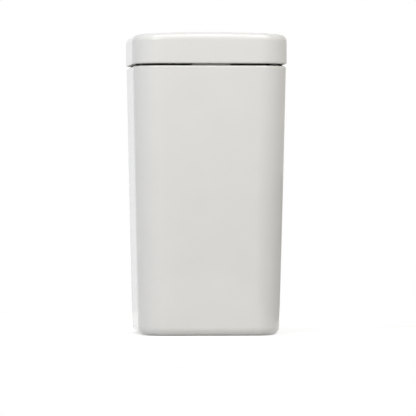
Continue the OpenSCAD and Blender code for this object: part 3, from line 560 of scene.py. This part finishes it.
def plug(name, r, flare, low, high, at=(0, 0), along="z"):
    """Round cutter from low to high with a trumpet at both ends, along z or along y."""
    mouth = [(r + wider, depth) for wider, depth in trumpet(flare)]
    lip = mouth[-1][0] + PLUG_SPREAD
    profile = [(lip, low - PLUG_PAST)] + [(w, low + depth) for w, depth in reversed(mouth)]
    profile += [(w, high - depth) for w, depth in mouth] + [(lip, high + PLUG_PAST)]
    turns = [2 * math.pi * i / PLUG_SIDES for i in range(PLUG_SIDES)]
    rings = []
    for w, h in profile:
        circle = [(at[0] + w * math.cos(a), at[1] + w * math.sin(a)) for a in turns]
        rings.append([(u, v, h) if along == "z" else (u, h, v) for u, v in circle])
    return skin(name, rings)


print("trumpet steps:", len(trumpet(1)))

# %% The notch for the supply pipe
FILL, BOLTS, SCREWS = (-50, 40), ((-57.5, 0), (57.5, 0)), ((-60, 302), (60, 302))
NOTCH_R, NOTCH_SPRING, NOTCH_LOW, NOTCH_SIDES = 17, 15, -3, 24
NOTCH_FLARE, NOTCH_SPREAD, NOTCH_PAST = 2.5, 4.6, 0.4


def arch(wider, y):
    """Outline of the notch, a round arch over two straight sides."""
    r = NOTCH_R + wider
    turns = [math.pi * i / NOTCH_SIDES for i in range(NOTCH_SIDES + 1)]
    top = [(r * math.cos(a), NOTCH_SPRING + r * math.sin(a)) for a in turns]
    return [(FILL[0] + x, y, z) for x, z in [(r, NOTCH_LOW)] + top + [(-r, NOTCH_LOW)]]


mouth = trumpet(NOTCH_FLARE)
arches = [arch(NOTCH_SPREAD, HOLLOW_BACK - NOTCH_PAST)]
arches += [arch(wider, HOLLOW_BACK + depth) for wider, depth in reversed(mouth)]
arches += [arch(wider, BACK - depth) for wider, depth in mouth]
arches += [arch(NOTCH_SPREAD, BACK + NOTCH_PAST)]
notch = skin("notch", arches)
print("notch:", 2 * NOTCH_R, "mm wide")

# %% The tank's holes
OUTLET_R, INLET_R, BOLT_HOLE_R, SCREW_R = 31.4, 12, 5.6, 4.5
WIDE_FLARE, FLARE, FOOT_BARE = 2, 1.5, 0.4
holes = [plug("outlet_hole", OUTLET_R, WIDE_FLARE, HOLLOW, FLOOR)]
holes += [plug("inlet_hole", INLET_R, FLARE, HOLLOW, FLOOR, FILL)]
holes += [plug("bolt_hole", BOLT_HOLE_R, FLARE, HOLLOW, FLOOR, at) for at in BOLTS]
holes += [plug("screw_hole", SCREW_R, FLARE, BACK - WALL, BACK, at, "y") for at in SCREWS]
carve(tank, holes + [notch])
dress(tank, "tank", "china", glaze, bisque, replaces=["cistern_body"])
unglaze(tank, 0, FOOT_BARE)
smooth(tank)

# %% [markdown]
# ## Lid
# The lid is a shallow bell: upright sides, a soft upper edge, a crown so that water runs off,
# and a round seat in the middle for the flush button. Its stack of rings is a closed loop: from
# the hole's lower edge out over the hollow's ceiling, down to the lower edge, up the outside,
# over the crown and back into the hole. Between the crown's outline and the round seat, the rings
# turn from a rounded rectangle into a circle.

# %% The lid's measures
LOW, EDGE, TOP, CEILING, SEAT = 349.8, 387.4, 389.8, 377.4, 388.2
LID_HALF, LID_FRONT, LID_FRONT_R, LID_BACK_R, LID_LEAST_R = 100, -90, 39, 19, 2.5
EDGE_R, CROWN_RISE, LID_WALL, LID_HOLLOW_R, LID_LOW_R, LID_INNER_R = 8.5, 2.4, 10, 6, 2, 1.5
CROWN_HALF = LID_HALF - EDGE_R
CROWN_R = (CROWN_HALF ** 2 + CROWN_RISE ** 2) / (2 * CROWN_RISE)


def crown(x):
    return TOP - x * x / (2 * CROWN_R)


def lid_ring(z, inset):
    return china_ring(LID_HALF - inset, LID_FRONT + inset, BACK - inset, LID_FRONT_R - inset,
                      max(LID_BACK_R - inset, LID_LEAST_R), z)


outline = lid_ring(EDGE, EDGE_R)
bearing = [math.atan2(y, x) for x, y, z in outline]


def hole_ring(r, z=None):
    """Circle with its points on the same bearings as the lid's outline, on the crown without z."""
    ring = [(r * math.cos(a), r * math.sin(a)) for a in bearing]
    return [(x, y, crown(x) if z is None else z) for x, y in ring]


def between(a, b, t):
    return [tuple(Vector(p).lerp(Vector(q), t)) for p, q in zip(a, b)]


def edge_ring(t):
    """Upper edge: upright at t = 0, level with the crown at t = 1."""
    angle = t * math.pi / 2
    ring = lid_ring(0, EDGE_R * (1 - math.cos(angle)))
    low = EDGE - EDGE_R
    return [(x, y, low + (crown(o[0]) - low) * math.sin(angle)) for (x, y, z), o in zip(ring, outline)]


print("crown radius:", round(CROWN_R), "mm")

# %% The lid's skin
HOLE_R, CEILING_R, CEILING_INSET = 25.3, 26.5, 17
SEAT_R, SEAT_LIP_R = 32.1, 0.8
EDGE_ROWS, CROWN_ROWS = 10, 8
INSIDE_LEVELS, OUTSIDE_LEVELS, CEILING_SHARES = (366, 358), (358, 367), (0.3, 0.65, 1)
SEAT_STEPS = ((31.3, SEAT), (30.5, SEAT), (26.3, SEAT), (25.6, SEAT - 0.3), (HOLE_R, SEAT - 1))
under = hole_ring(CEILING_R, CEILING)

stack = [hole_ring(HOLE_R, CEILING), under]
stack += [between(under, lid_ring(CEILING, CEILING_INSET), t) for t in CEILING_SHARES]
stack += [lid_ring(CEILING - drop, LID_WALL + inset) for inset, drop in quarter(LID_HOLLOW_R)]
stack += [lid_ring(z, LID_WALL) for z in INSIDE_LEVELS]
stack += [lid_ring(LOW + drop, LID_WALL - inset) for inset, drop in reversed(quarter(LID_INNER_R))]
stack += [lid_ring(LOW + drop, inset) for inset, drop in quarter(LID_LOW_R)]
stack += [lid_ring(z, 0) for z in OUTSIDE_LEVELS]
stack += [edge_ring(i / EDGE_ROWS) for i in range(EDGE_ROWS + 1)]
for i in range(1, CROWN_ROWS + 1):
    ring = between(outline, hole_ring(SEAT_R), i / CROWN_ROWS)
    stack.append([(x, y, crown(x)) for x, y, z in ring])
for angle in (t * math.pi / 2 for t in reversed(STEPS[:-1])):
    ring = hole_ring(SEAT_R - SEAT_LIP_R * math.cos(angle))
    stack.append([(x, y, z - SEAT_LIP_R * (1 - math.sin(angle))) for x, y, z in ring])
stack += [hole_ring(r, z) for r, z in SEAT_STEPS]
shell = skin("lid_shell", stack, loop=True)
print("lid rings:", len(stack))

# %% [markdown]
# ## Ribs in the lid
# Four ribs hang down from the lid into the tank and keep it from sliding off. They are cast with
# the lid, so their feet are rounded and their roots run out into the ceiling. Each is a short
# loft of its own, and a union makes one casting of them all. Ribs could be drawn out of the lid's
# own faces, but then they would have to follow its rings.

# %% A bar
LEAST_CORNER = 0.3


def bar(x0, x1, y0, y1, low, high, r=1.8, root=2.2, turn=0.0):
    """Upright bar, turned round the middle axis. Its foot is round, and its upper end spreads into
    a root, or is round too where root is 0."""
    c, s = math.cos(turn), math.sin(turn)
    middle = (x0 + x1) / 2

    def ring(z, inset):
        corner = max(r - inset, LEAST_CORNER)
        shape = china_ring((x1 - x0) / 2 - inset, y0 + inset, y1 - inset, corner, corner, z)
        return [((middle + x) * c - y * s, (middle + x) * s + y * c, z) for x, y, z in shape]

    rings = [ring(low + drop, inset) for inset, drop in quarter(r)]
    spread = reversed(quarter(root or r))
    rings += [ring(high - drop, -inset if root else inset) for inset, drop in spread]
    return skin("bar", rings)


print("rings in a bar:", 2 * len(STEPS))

# %% The lid's ribs
RIB_HALF, RIB_FOOT, CLEAR, ROOT_SINK = 25, 339, 0.3, 0.2
SIDE_RIB, SIDE_WEB = (80.8, 86.8), 91.5
END_RIBS = ((-70.7, -76.7, -81.5), (72, 78, 81.5))
LID_BARE = 0.3
root_z, web_half = CEILING + ROOT_SINK, RIB_HALF - CLEAR
bars = []
for side in (-1, 1):
    hanging = sorted(side * x for x in SIDE_RIB)
    web = sorted((side * (SIDE_RIB[0] + CLEAR), side * SIDE_WEB))
    bars += [bar(*hanging, -RIB_HALF, RIB_HALF, RIB_FOOT, root_z)]
    bars += [bar(*web, -web_half, web_half, LOW, root_z)]
for inner, outer, wall in END_RIBS:
    hanging = sorted((inner, outer))
    web = sorted((inner + math.copysign(CLEAR, inner), wall))
    bars += [bar(-RIB_HALF, RIB_HALF, *hanging, RIB_FOOT, root_z)]
    bars += [bar(-web_half, web_half, *web, LOW, root_z)]
lid = carve(shell, bars, "UNION")
lid.name = "lid_china"
dress(lid, "lid", "china", glaze, bisque, replaces=["cistern_lid"])
unglaze(lid, LOW, LID_BARE)
smooth(lid)
print("ribs:", len(bars) // 2)

# %% [markdown]
# ## Finishes of the fittings
# The fittings are chrome-plated, moulded, cut from rubber or turned from brass, and each trade
# leaves its own surface: plating is nearly a mirror, moulded plastic has a fine satin grain, wire
# and bolts have marks along or around them, and foam is a sponge of small cells. One plain colour
# each would do from afar, but close up the grain tells plastic from rubber.

# %% Plastic and rubber
MOULD_GRAIN = (1500, 0.02)
finishes = {
    "china": glaze,
    "white_plastic": finish("white_plastic", (0.8, 0.8, 0.77), (0.74, 0.74, 0.71),
                            gloss=(0.28, 0.42, 120), grain=MOULD_GRAIN),
    "pale_plastic": finish("pale_blue_plastic", (0.46, 0.6, 0.7), (0.41, 0.55, 0.66),
                           gloss=(0.32, 0.46, 120), grain=MOULD_GRAIN),
    "blue_plastic": finish("blue_plastic", (0.05, 0.16, 0.42), (0.035, 0.125, 0.36),
                           gloss=(0.3, 0.45, 120), grain=MOULD_GRAIN),
    "black_rubber": finish("black_rubber", (0.035, 0.035, 0.037), (0.02, 0.02, 0.022),
                           gloss=(0.5, 0.75, 300), grain=(900, 0.06)),
    "red_silicone": finish("red_silicone", (0.5, 0.06, 0.04), (0.4, 0.04, 0.03),
                           gloss=(0.35, 0.5, 200), grain=(700, 0.03)),
    "pad_rubber": finish("grey_pad", (0.1, 0.1, 0.102), (0.07, 0.07, 0.072),
                         gloss=(0.45, 0.65, 300), grain=(800, 0.04)),
    "foam": finish("cell_foam", (0.05, 0.05, 0.053), (0.025, 0.025, 0.027),
                   gloss=(0.85, 1, 300), grain=(1100, 0.3), cells=True),
}
print("finishes:", sorted(m.name for m in finishes.values()))

# %% Metals
ALONG_WIRE, AROUND_BOLT = (6, 1, 1), (1, 1, 9)
finishes["chrome"] = finish("chrome_plate", (0.76, 0.77, 0.78), (0.7, 0.71, 0.725),
                            gloss=(0.03, 0.1, 90), grain=(300, 0.004), Metallic=1)
finishes["steel"] = finish("drawn_steel", (0.6, 0.6, 0.6), (0.48, 0.485, 0.49),
                           gloss=(0.18, 0.4, 300), grain=(500, 0.02), stretch=ALONG_WIRE, Metallic=1)
finishes["brass"] = finish("turned_brass", (0.72, 0.52, 0.2), (0.56, 0.37, 0.13),
                           gloss=(0.16, 0.38, 250), grain=(420, 0.03), stretch=AROUND_BOLT, Metallic=1)
print("finishes:", len(finishes))

# %% [markdown]
# ## Turned pieces
# Rings, washers, rods, nuts and tubes are bodies of revolution, so one profile each is enough.
# Every corner of the profile is eased, because a moulded edge always catches a line of light. A
# thread is the same skin with a groove that climbs as it goes round, and a finger nut has its
# lobes added to the outer radius. A screw modifier could cut the threads, but a groove on the
# turned skin is lighter and looks the same.

# %% Profiles of (radius, height)
EDGE_SHARE, GROOVE_ROWS, SAME_R = 0.45, 6, 0.01


def tube(r_in, r_out, low, high):
    return [(r_in, low), (r_out, low), (r_out, high), (r_in, high)]


def eased(corners, radius, n=4):
    """Closed profile with each corner rounded, over less than half of each edge."""
    points = []
    for i, corner in enumerate(corners):
        here, before = Vector(corner), Vector(corners[i - 1])
        after = Vector(corners[(i + 1) % len(corners)])
        a = here + (before - here).normalized() * min(radius, (before - here).length * EDGE_SHARE)
        b = here + (after - here).normalized() * min(radius, (after - here).length * EDGE_SHARE)
        for t in (k / n for k in range(n + 1)):
            points.append(tuple(a * (1 - t) ** 2 + here * 2 * t * (1 - t) + b * t * t))
    return points


def grooved(profile, r, low, high, pitch, depth):
    """Adds points with a thread mark along the profile's straight run at radius r."""
    count = max(2, round((high - low) / pitch * GROOVE_ROWS))
    run = []
    for i in range(count + 1):
        fade = min(1, 3 * i / count, 3 * (1 - i / count))
        run.append((r, low + (high - low) * i / count, pitch, depth * fade))
    middle = (low + high) / 2
    for i, (a, b) in enumerate(zip(profile, profile[1:] + profile[:1])):
        upright = abs(a[0] - r) < SAME_R and abs(b[0] - r) < SAME_R
        if upright and min(a[1], b[1]) < middle < max(a[1], b[1]):
            return profile[:i + 1] + (run if a[1] < b[1] else run[::-1]) + profile[i + 1:]
    raise ValueError("no straight run there")


print("points in a washer's profile:", len(eased(tube(30, 42, 58, 61), 0.9)))

# %% Turning
def turned(name, profile, at=(0, 0), sides=72, lobes=None, loop=True):
    """Skin of a profile turned round an upright axis. A point with a thread mark is grooved, and
    lobes are the (count, size, least radius) of a nut's finger lobes."""
    rings = []
    for r, z, *mark in profile:
        ring = []
        for i in range(sides):
            a = 2 * math.pi * i / sides
            w = r
            if mark:
                pitch, depth = mark
                w -= depth * abs(2 * ((z / pitch - i / sides) % 1) - 1)
            if lobes and r > lobes[2]:
                count, size = lobes[:2]
                off = ((a * count / (2 * math.pi) + 0.5) % 1 - 0.5) * 2 * math.pi / count * r
                w += size * math.sqrt(max(0, 1 - (off / size) ** 2))
            ring.append((at[0] + w * math.cos(a), at[1] + w * math.sin(a), z))
        rings.append(ring)
    return skin(name, rings, loop)


print("turning helper:", turned.__name__)

# %% Fitting
FITTING_SHARP = 40


def fit(piece, body, slot, *replaced):
    """Shades a fitting, gives it its slot's finish and lets it ride."""
    smooth(piece, FITTING_SHARP)
    dress(piece, body, slot, finishes[slot], replaces=replaced)
    return piece


def washer(name, body, slot, node, r_in, r_out, low, high, ease, at=(0, 0)):
    """Flat ring with eased edges."""
    return fit(turned(name, eased(tube(r_in, r_out, low, high), ease), at), body, slot, node)


def nut(name, body, node, r_in, r_out, low, high, ease, lobes, at=(0, 0), sides=192):
    """White nut with lobes for the fingers."""
    profile = eased(tube(r_in, r_out, low, high), ease)
    return fit(turned(name, profile, at, sides, lobes), body, "white_plastic", node)


print("edges stay sharp from", FITTING_SHARP, "degrees on fittings")

# %% [markdown]
# ## Bezel
# In the lid's seat lies a chrome bezel. Its threaded sleeve goes down through the china and is
# held by a finger nut on a gasket. Such a bezel is moulded and then plated, so its lips are round;
# a turned profile with eased corners has the same lips. The nut gets eight lobes, because it is
# tightened by hand inside the lid.

# %% The bezel, the gasket and the nut
BEZEL_TOP, SLEEVE_LOW, SLEEVE_LIP, NUT_TOP, NUT_LOW = 390.8, 354.8, 356.8, 375.4, 365.4
BEZEL_R, SLEEVE_R, BORE_R, GUIDE_R, NUT_BORE_R, NUT_R = 31, 25, 22.6, 20.5, 25.2, 31.2
bezel = eased([(BORE_R, BEZEL_TOP), (BEZEL_R, BEZEL_TOP), (BEZEL_R, SEAT), (SLEEVE_R, SEAT),
               (SLEEVE_R, SLEEVE_LOW), (GUIDE_R, SLEEVE_LOW), (GUIDE_R, SLEEVE_LIP), (BORE_R, SLEEVE_LIP)],
              radius=1.1)
bezel = grooved(bezel, SLEEVE_R, low=357, high=376, pitch=3, depth=0.7)
fit(turned("bezel_ring", bezel, sides=96), "lid", "chrome", "button_bezel")
washer("gasket_ring", "lid", "black_rubber", "button_gasket",
       NUT_BORE_R, NUT_R, NUT_TOP, CEILING, ease=0.5)
nut("finger_nut", "lid", "button_nut", NUT_BORE_R, NUT_R, NUT_LOW, NUT_TOP, ease=1.2, lobes=(8, 3, 28))

# %% [markdown]
# ## Buttons
# Two chrome buttons share the round opening: the larger one empties the tank, the smaller one half
# of it. A real button's face is a little dished, so a finger stays on it, and its edges are plated
# round. A cut disc would have flat faces and sharp edges, so each button is a skin over rings of
# its own outline, which shrink to the middle of each half.

# %% A button's outline
BUTTON_R, SPLIT_X, SPLIT_PLAY = 22.2, 5, 0.2
ARC_POINTS, CHORD_POINTS = 40, 20


def half_disc(side, inset, z):
    """Outline of one button: an arc of the round opening, closed by the split."""
    r, edge = BUTTON_R - inset, SPLIT_X + side * (SPLIT_PLAY + inset)
    half = math.acos(edge / r) if side > 0 else math.pi - math.acos(edge / r)
    middle = 0 if side > 0 else math.pi
    angles = [middle - half + 2 * half * i / ARC_POINTS for i in range(ARC_POINTS + 1)]
    arc = [(r * math.cos(a), r * math.sin(a)) for a in angles]
    ends = Vector(arc[-1]), Vector(arc[0])
    chord = [tuple(ends[0].lerp(ends[1], i / CHORD_POINTS)) for i in range(1, CHORD_POINTS)]
    return [(x, y, z) for x, y in arc + chord]


print("points round a button:", len(half_disc(1, 0, 0)))

# %% The two buttons
BUTTON_LOW, BUTTON_ARRIS, BUTTON_EDGE, FACE_LOW = 379.8, 380.2, 389, 387.2
BUTTON_WALL, BUTTON_EDGE_R, DISH = 1.6, 1.2, 0.9
FACE_SHARES = (0.9, 0.75, 0.55, 0.35, 0.15)
STEM_LOW, STEM_TOP, STEM_R, STEM_EASE, STEM_SIDES = 356.5, 388, 2.9, 0.5, 32
STEMS = {"full": -8.5, "half": 13.8}
SIDES = {"full": -1, "half": 1}
MIDDLES = {"full": Vector((-8, 0, 0)), "half": Vector((13.4, 0, 0))}


def button(which):
    """Button with a dished face and a hollow under it, and its stem."""
    side, middle = SIDES[which], MIDDLES[which]
    under = [(BUTTON_WALL, FACE_LOW), (BUTTON_WALL, BUTTON_ARRIS), (1.2, BUTTON_LOW), (0.4, BUTTON_LOW),
             (0, BUTTON_ARRIS)]
    rings = [half_disc(side, inset, z) for inset, z in under]
    for angle in (t * math.pi / 2 for t in STEPS):
        inset, rise = BUTTON_EDGE_R * (1 - math.cos(angle)), BUTTON_EDGE_R * math.sin(angle)
        rings.append(half_disc(side, inset, BUTTON_EDGE + rise))
    edge = rings[-1]
    for share in FACE_SHARES:
        dip = DISH * math.cos(share * math.pi / 2) ** 2
        rings.append([tuple(middle + (Vector((x, y, 0)) - middle) * share + Vector((0, 0, z - dip)))
                      for x, y, z in edge])
    foot = [(STEM_R - STEM_EASE, STEM_LOW), (STEM_R, STEM_LOW + STEM_EASE), (STEM_R, STEM_TOP)]
    stem = turned("stem", foot, (STEMS[which], 0), STEM_SIDES, loop=False)
    return carve(skin(which + "_button_plate", rings), [stem], "UNION")


for which in STEMS:
    fit(button(which), which + "_button", "chrome", which + "_button")

# %% [markdown]
# ## Springs and push rods
# Under each button a wire spring stands on the guide plate, and a rod runs down to the rocker. A
# spring could be a curve with a round bevel, but here it is a mesh, and each spring gets a mesh of
# its own.

# %% A spring
COIL_LOW, COIL_HIGH, COIL_R, WIRE_R, COIL_TURNS = 360.35, 386.65, 5.6, 0.5, 7.5
COIL_STEPS, WIRE_SIDES, END_TURNS, END_LIFT = 32, 10, 0.75, 0.1


def spring(name, x):
    """Wire wound round a button's stem, with closed end coils."""
    count = COIL_TURNS * COIL_STEPS
    free = COIL_TURNS - 2 * END_TURNS
    around = [2 * math.pi * k / WIRE_SIDES for k in range(WIRE_SIDES)]
    up = Vector((0, 0, 1))
    rings = []
    for i in range(int(count) + 1):
        t = i / count
        a = 2 * math.pi * COIL_TURNS * t
        climbed = min(max((t * COIL_TURNS - END_TURNS) / free, 0), 1)
        rise = COIL_LOW + (COIL_HIGH - COIL_LOW) * climbed + END_LIFT * math.sin(a / 2) ** 2
        out = Vector((math.cos(a), math.sin(a), 0))
        centre = Vector((x, 0, rise)) + out * COIL_R
        rings.append([tuple(centre + WIRE_R * (out * math.cos(b) + up * math.sin(b))) for b in around])
    return skin(name, rings)


print("rings in a spring:", int(COIL_TURNS * COIL_STEPS) + 1)

# %% Springs and rods
ROD = [(1.4, 307.8), (2, 308.4), (2, 352.8), (2.4, 353.5), (4.2, 353.6), (4.4, 354), (4.4, 356.1),
       (4, 356.5)]
for which, x in STEMS.items():
    coil = fit(spring(which + "_coil", x), "lid", "steel", which + "_spring")
    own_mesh(coil)
    rod = turned(which + "_push_rod", ROD, (x, 0), STEM_SIDES, loop=False)
    fit(rod, which + "_button", "white_plastic", which + "_rod")

# %% [markdown]
# ## Rubber and foam
# Soft rings keep the water in: a gasket under each flange, cones round the bolts, a silicone seal
# on the outlet, a diaphragm in the fill valve, and a foam washer on the pan. They are turned like
# the rest, with fuller edges, because soft material bulges where it is pressed. Cloth could do the
# bulging, but moulded rubber keeps its section.

# %% Seals
washer("outlet_gasket", "tank", "black_rubber", "outlet_washer",
       r_in=30, r_out=42, low=FLOOR, high=61, ease=0.9)
washer("inlet_gasket", "tank", "black_rubber", "inlet_washer",
       r_in=10.6, r_out=16, low=FLOOR, high=61, ease=0.9, at=FILL)
washer("outlet_seal", "stem", "red_silicone", "flush_seal",
       r_in=11.2, r_out=31, low=69, high=72, ease=0.8)
washer("seal_ring", "stem", "white_plastic", "seal_retainer",
       r_in=11.2, r_out=18, low=65.5, high=69, ease=0.6)
disc = [(12, 244), (12.4, 244.3), (12.4, 245.7), (12, 246)]
fit(turned("diaphragm_disc", disc, FILL, loop=False), "tank", "black_rubber", "fill_diaphragm")
cone = eased([(4.2, 53), (4.8, 53), (5.4, FLOOR), (12, FLOOR), (12, 61), (4.2, 61)], radius=0.8)
cones = [turned("cone", cone, at, sides=48) for at in BOLTS]
fit(joined("bolt_cones", cones), "tank", "black_rubber", "cone_washers")

# %% The foam washer
foam = eased([(30, 20), (41.3, 20), (45.3, 28.7), (45.3, HOLLOW), (40.3, HOLLOW), (40.3, 34.7), (30, 34.7)],
             radius=1.6)
foam_washer = fit(turned("foam_washer", foam, sides=96), "tank", "foam", "coupling_foam")

# %% [markdown]
# ## Pads on the rim
# Four grey pads on the rim hold the lid a little above it, which makes the dark line round the
# cistern. Each is a short strip with round ends. A bevelled box would look alike from above, but
# its ends would be square.

# %% The pads
PAD_X, PAD_Y, PAD_R, PAD_HALF, PAD_TURNS = 92.75, 38, 2.3, 5.7, 16
PAD_LEVELS = [(0.5, 347), (0.15, 347.15), (0, 347.6), (0, 349.2), (0.15, 349.65), (0.5, 349.8)]


def pad(x, y):
    """Pad with round ends and soft edges, lying on the rim."""
    points = []
    for shift, start in ((PAD_HALF, 0), (-PAD_HALF, 180)):
        angles = [math.radians(start + 180 * i / PAD_TURNS) for i in range(PAD_TURNS + 1)]
        points += [(a, shift) for a in angles]
    rings = []
    for inset, z in PAD_LEVELS:
        r = PAD_R - inset
        rings.append([(x + r * math.cos(a), y + shift + r * math.sin(a), z) for a, shift in points])
    return skin("pad", rings)


pieces = [pad(x, y) for x in (-PAD_X, PAD_X) for y in (-PAD_Y, PAD_Y)]
pads = fit(joined("rim_pads", pieces), "tank", "pad_rubber", "lid_pads")

# %% [markdown]
# ## Outlet and fill valve
# The outlet's tail and the fill valve's shank go down through the floor, and nuts pull them tight
# from below. Above the floor the outlet carries a basket of six posts, and the fill valve is a tall
# pipe with a chamber on top. The posts could be windows cut from a tube, but posts have their own
# round edges.

# %% The outlet and its nut
TAIL = [(25, 5), (28.4, 5), (28.4, 20), (29.8, 20), (29.8, 61), (42, 61), (42, 65), (29.5, 65), (29.5, 69),
        (25, 69)]
TAIL_THREAD = {"r": 29.8, "low": 22, "high": 57, "pitch": 4, "depth": 1.1}
POSTS, POST = 6, (35, 39, -3, 3, 64, 105.2)
outlet = turned("outlet_body", grooved(eased(TAIL, 0.7), **TAIL_THREAD), sides=96)
turns = [math.radians(360 / POSTS * i) for i in range(POSTS)]
basket = [bar(*POST, r=1, root=0.9, turn=turn) for turn in turns]
basket += [turned("ring", eased(tube(34, 40, 105, 111), 0.7), sides=96)]
carve(outlet, basket, "UNION")
fit(outlet, "tank", "white_plastic", "valve_base")
nut("outlet_finger_nut", "tank", "outlet_nut",
    r_in=30, r_out=36, low=35, high=HOLLOW, ease=1.2, lobes=(8, 4, 33))

# %% The fill valve and its nut
RISER = [(6, 8), (10.4, 8), (10.4, 34), (10.2, 34), (10.2, 61), (16, 61), (16, 65), (9.5, 65), (9.5, 165.7),
         (13.5, 165.7), (13.5, 167.7), (9.5, 167.7), (9.5, 225), (15, 225), (15, 246), (12.7, 246),
         (12.7, 244), (3, 244), (3, 235.5), (6, 235.5)]
RISER_THREAD = {"r": 10.4, "low": 9, "high": 33, "pitch": 1.8, "depth": 0.8}
riser = grooved(eased(RISER, 0.6), **RISER_THREAD)
fit(turned("fill_riser", riser, FILL), "tank", "white_plastic", "fill_valve")
nut("inlet_finger_nut", "tank", "inlet_nut",
    r_in=10.6, r_out=14.2, low=36, high=HOLLOW, ease=0.8, lobes=(6, 1.8, 12.4), at=FILL, sides=144)

# %% [markdown]
# ## Tower
# The tower stands on the outlet's basket and guides the overflow stem. Four windows let the water
# reach the stem's float, and three hooks clip it to the basket. The pipe is turned, the windows
# are cut out, and the hooks are bars that a union makes part of it. Strips bent between two rings
# would leave windows too, but a cut keeps the pipe's own curve.

# %% The tower
TOWER = [(23.5, 111), (40, 111), (40, 115), (26, 115), (26, 200), (23.5, 200)]
WINDOWS, WINDOW_HALF, WINDOW_LOW, WINDOW_HIGH, WINDOW_R = 4, 8, 123, 169, 3
WINDOW_REACH, WINDOW_START = (18, 32), 45
HOOKS, HOOK_R, HOOK_START = 3, 0.6, 30
STRAP = (40.3, 43.3, -5, 5, 101.7, 115)
HOOK_FOOT = (37, 43, -4.7, 4.7, 102, 104.7)
HOOK_ROOT = (39, 43, -4.7, 4.7, 111.3, 114.7)
HOOK_PARTS = (STRAP, HOOK_FOOT, HOOK_ROOT)


def window(turn):
    """Cutter for a window with round corners in the tower's wall."""
    c, s = math.cos(turn), math.sin(turn)
    shape = china_ring(WINDOW_HALF, WINDOW_LOW, WINDOW_HIGH, WINDOW_R, WINDOW_R, 0)
    return skin("window", [[(r * c - x * s, r * s + x * c, y) for x, y, z in shape] for r in WINDOW_REACH])


def hook(turn):
    """Strap down the flange's edge, with a foot under the basket and a root in the flange."""
    return [bar(*part, r=HOOK_R, root=0, turn=turn) for part in HOOK_PARTS]


tower = turned("outlet_tower", eased(TOWER, 0.8), sides=96)
carve(tower, [window(math.radians(360 / WINDOWS * i + WINDOW_START)) for i in range(WINDOWS)])
hooks = [part for i in range(HOOKS) for part in hook(math.radians(360 / HOOKS * i + HOOK_START))]
fit(carve(tower, hooks, "UNION"), "tank", "white_plastic", "valve_tower")

# %% [markdown]
# ## Float and bolts
# The float is an upturned cup that traps air and slides on the fill valve's pipe, with a boss for
# its link rod. Two brass bolts couple the tank to the pan; their heads have a slot for a
# screwdriver. All are turned, and the slots are cut. A bump could fake the bolts' threads, but
# then their outlines would stay smooth.

# %% The float
BELL = [(22.5, 168), (24.5, 168), (24.5, 210.4), (21.9, 213), (10.1, 213), (10.1, 168), (12.1, 168),
        (12.1, 211), (22.5, 211)]
BOSS_AT = (-50, 19.2)
boss = turned("boss", eased(tube(2.05, 3.6, 212, 217), 0.6), BOSS_AT, sides=32)
bell = turned("float_bell", eased(BELL, 1.6), FILL, sides=96)
fit(carve(bell, [boss], "UNION"), "float", "pale_plastic", "float_cup")

# %% The bolts
BOLT = [(3.1, 4), (4, 5.2), (4, 36), (3.8, 36.2), (3.8, 61), (8.5, 61), (9, 61.5), (9, 64.2), (8.2, 65.5),
        (6.8, 66)]
BOLT_THREAD = {"r": 4, "low": 5.4, "high": 35.6, "pitch": 1.25, "depth": 0.6}
SLOT_HALF_L, SLOT_HALF_W, SLOT_LEVELS = 10, 0.9, (64, 67)


def bolt(at):
    """Bolt with a rolled thread and a slotted head."""
    made = turned("bolt", grooved(BOLT, **BOLT_THREAD), at, sides=48, loop=False)
    corners = [(-SLOT_HALF_L, -SLOT_HALF_W), (SLOT_HALF_L, -SLOT_HALF_W),
               (SLOT_HALF_L, SLOT_HALF_W), (-SLOT_HALF_L, SLOT_HALF_W)]
    slot = skin("slot", [[(at[0] + x, at[1] + y, z) for x, y in corners] for z in SLOT_LEVELS])
    return carve(made, [slot])


fit(joined("slotted_bolts", [bolt(at) for at in BOLTS]), "tank", "brass", "coupling_bolts")

# %% [markdown]
# ## The rest of the fittings
# The moulded bodies already have their right shapes in the CAD model. They stay as they are, and
# get soft edges from modifiers: a weld joins the points that the file keeps apart, a bevel eases
# the edges, and weighted normals keep the flat faces flat. They could be built again like the
# others, but hidden in the tank they would look no better.

# %% CAD pieces with eased edges
WELD, EASE_W, EASE_ROWS = 1e-6, 0.35 * MM, 2
slots = {part["node"]: part["material_slot"] for part in frame["record"]["subparts"]}
kept = [name for name in sorted(nodes) if not nodes[name].hide_render]
for name in kept:
    piece = nodes[name]
    piece.modifiers.new("weld", "WELD").merge_threshold = WELD
    ease = piece.modifiers.new("ease", "BEVEL")
    ease.width = EASE_W
    ease.segments = EASE_ROWS
    ease.limit_method = "ANGLE"
    ease.angle_limit = math.radians(FITTING_SHARP)
    piece.modifiers.new("flats", "WEIGHTED_NORMAL").keep_sharp = True
    piece.data.materials.clear()
    piece.data.materials.append(finishes[slots[name]])
print("CAD pieces kept:", ", ".join(kept))
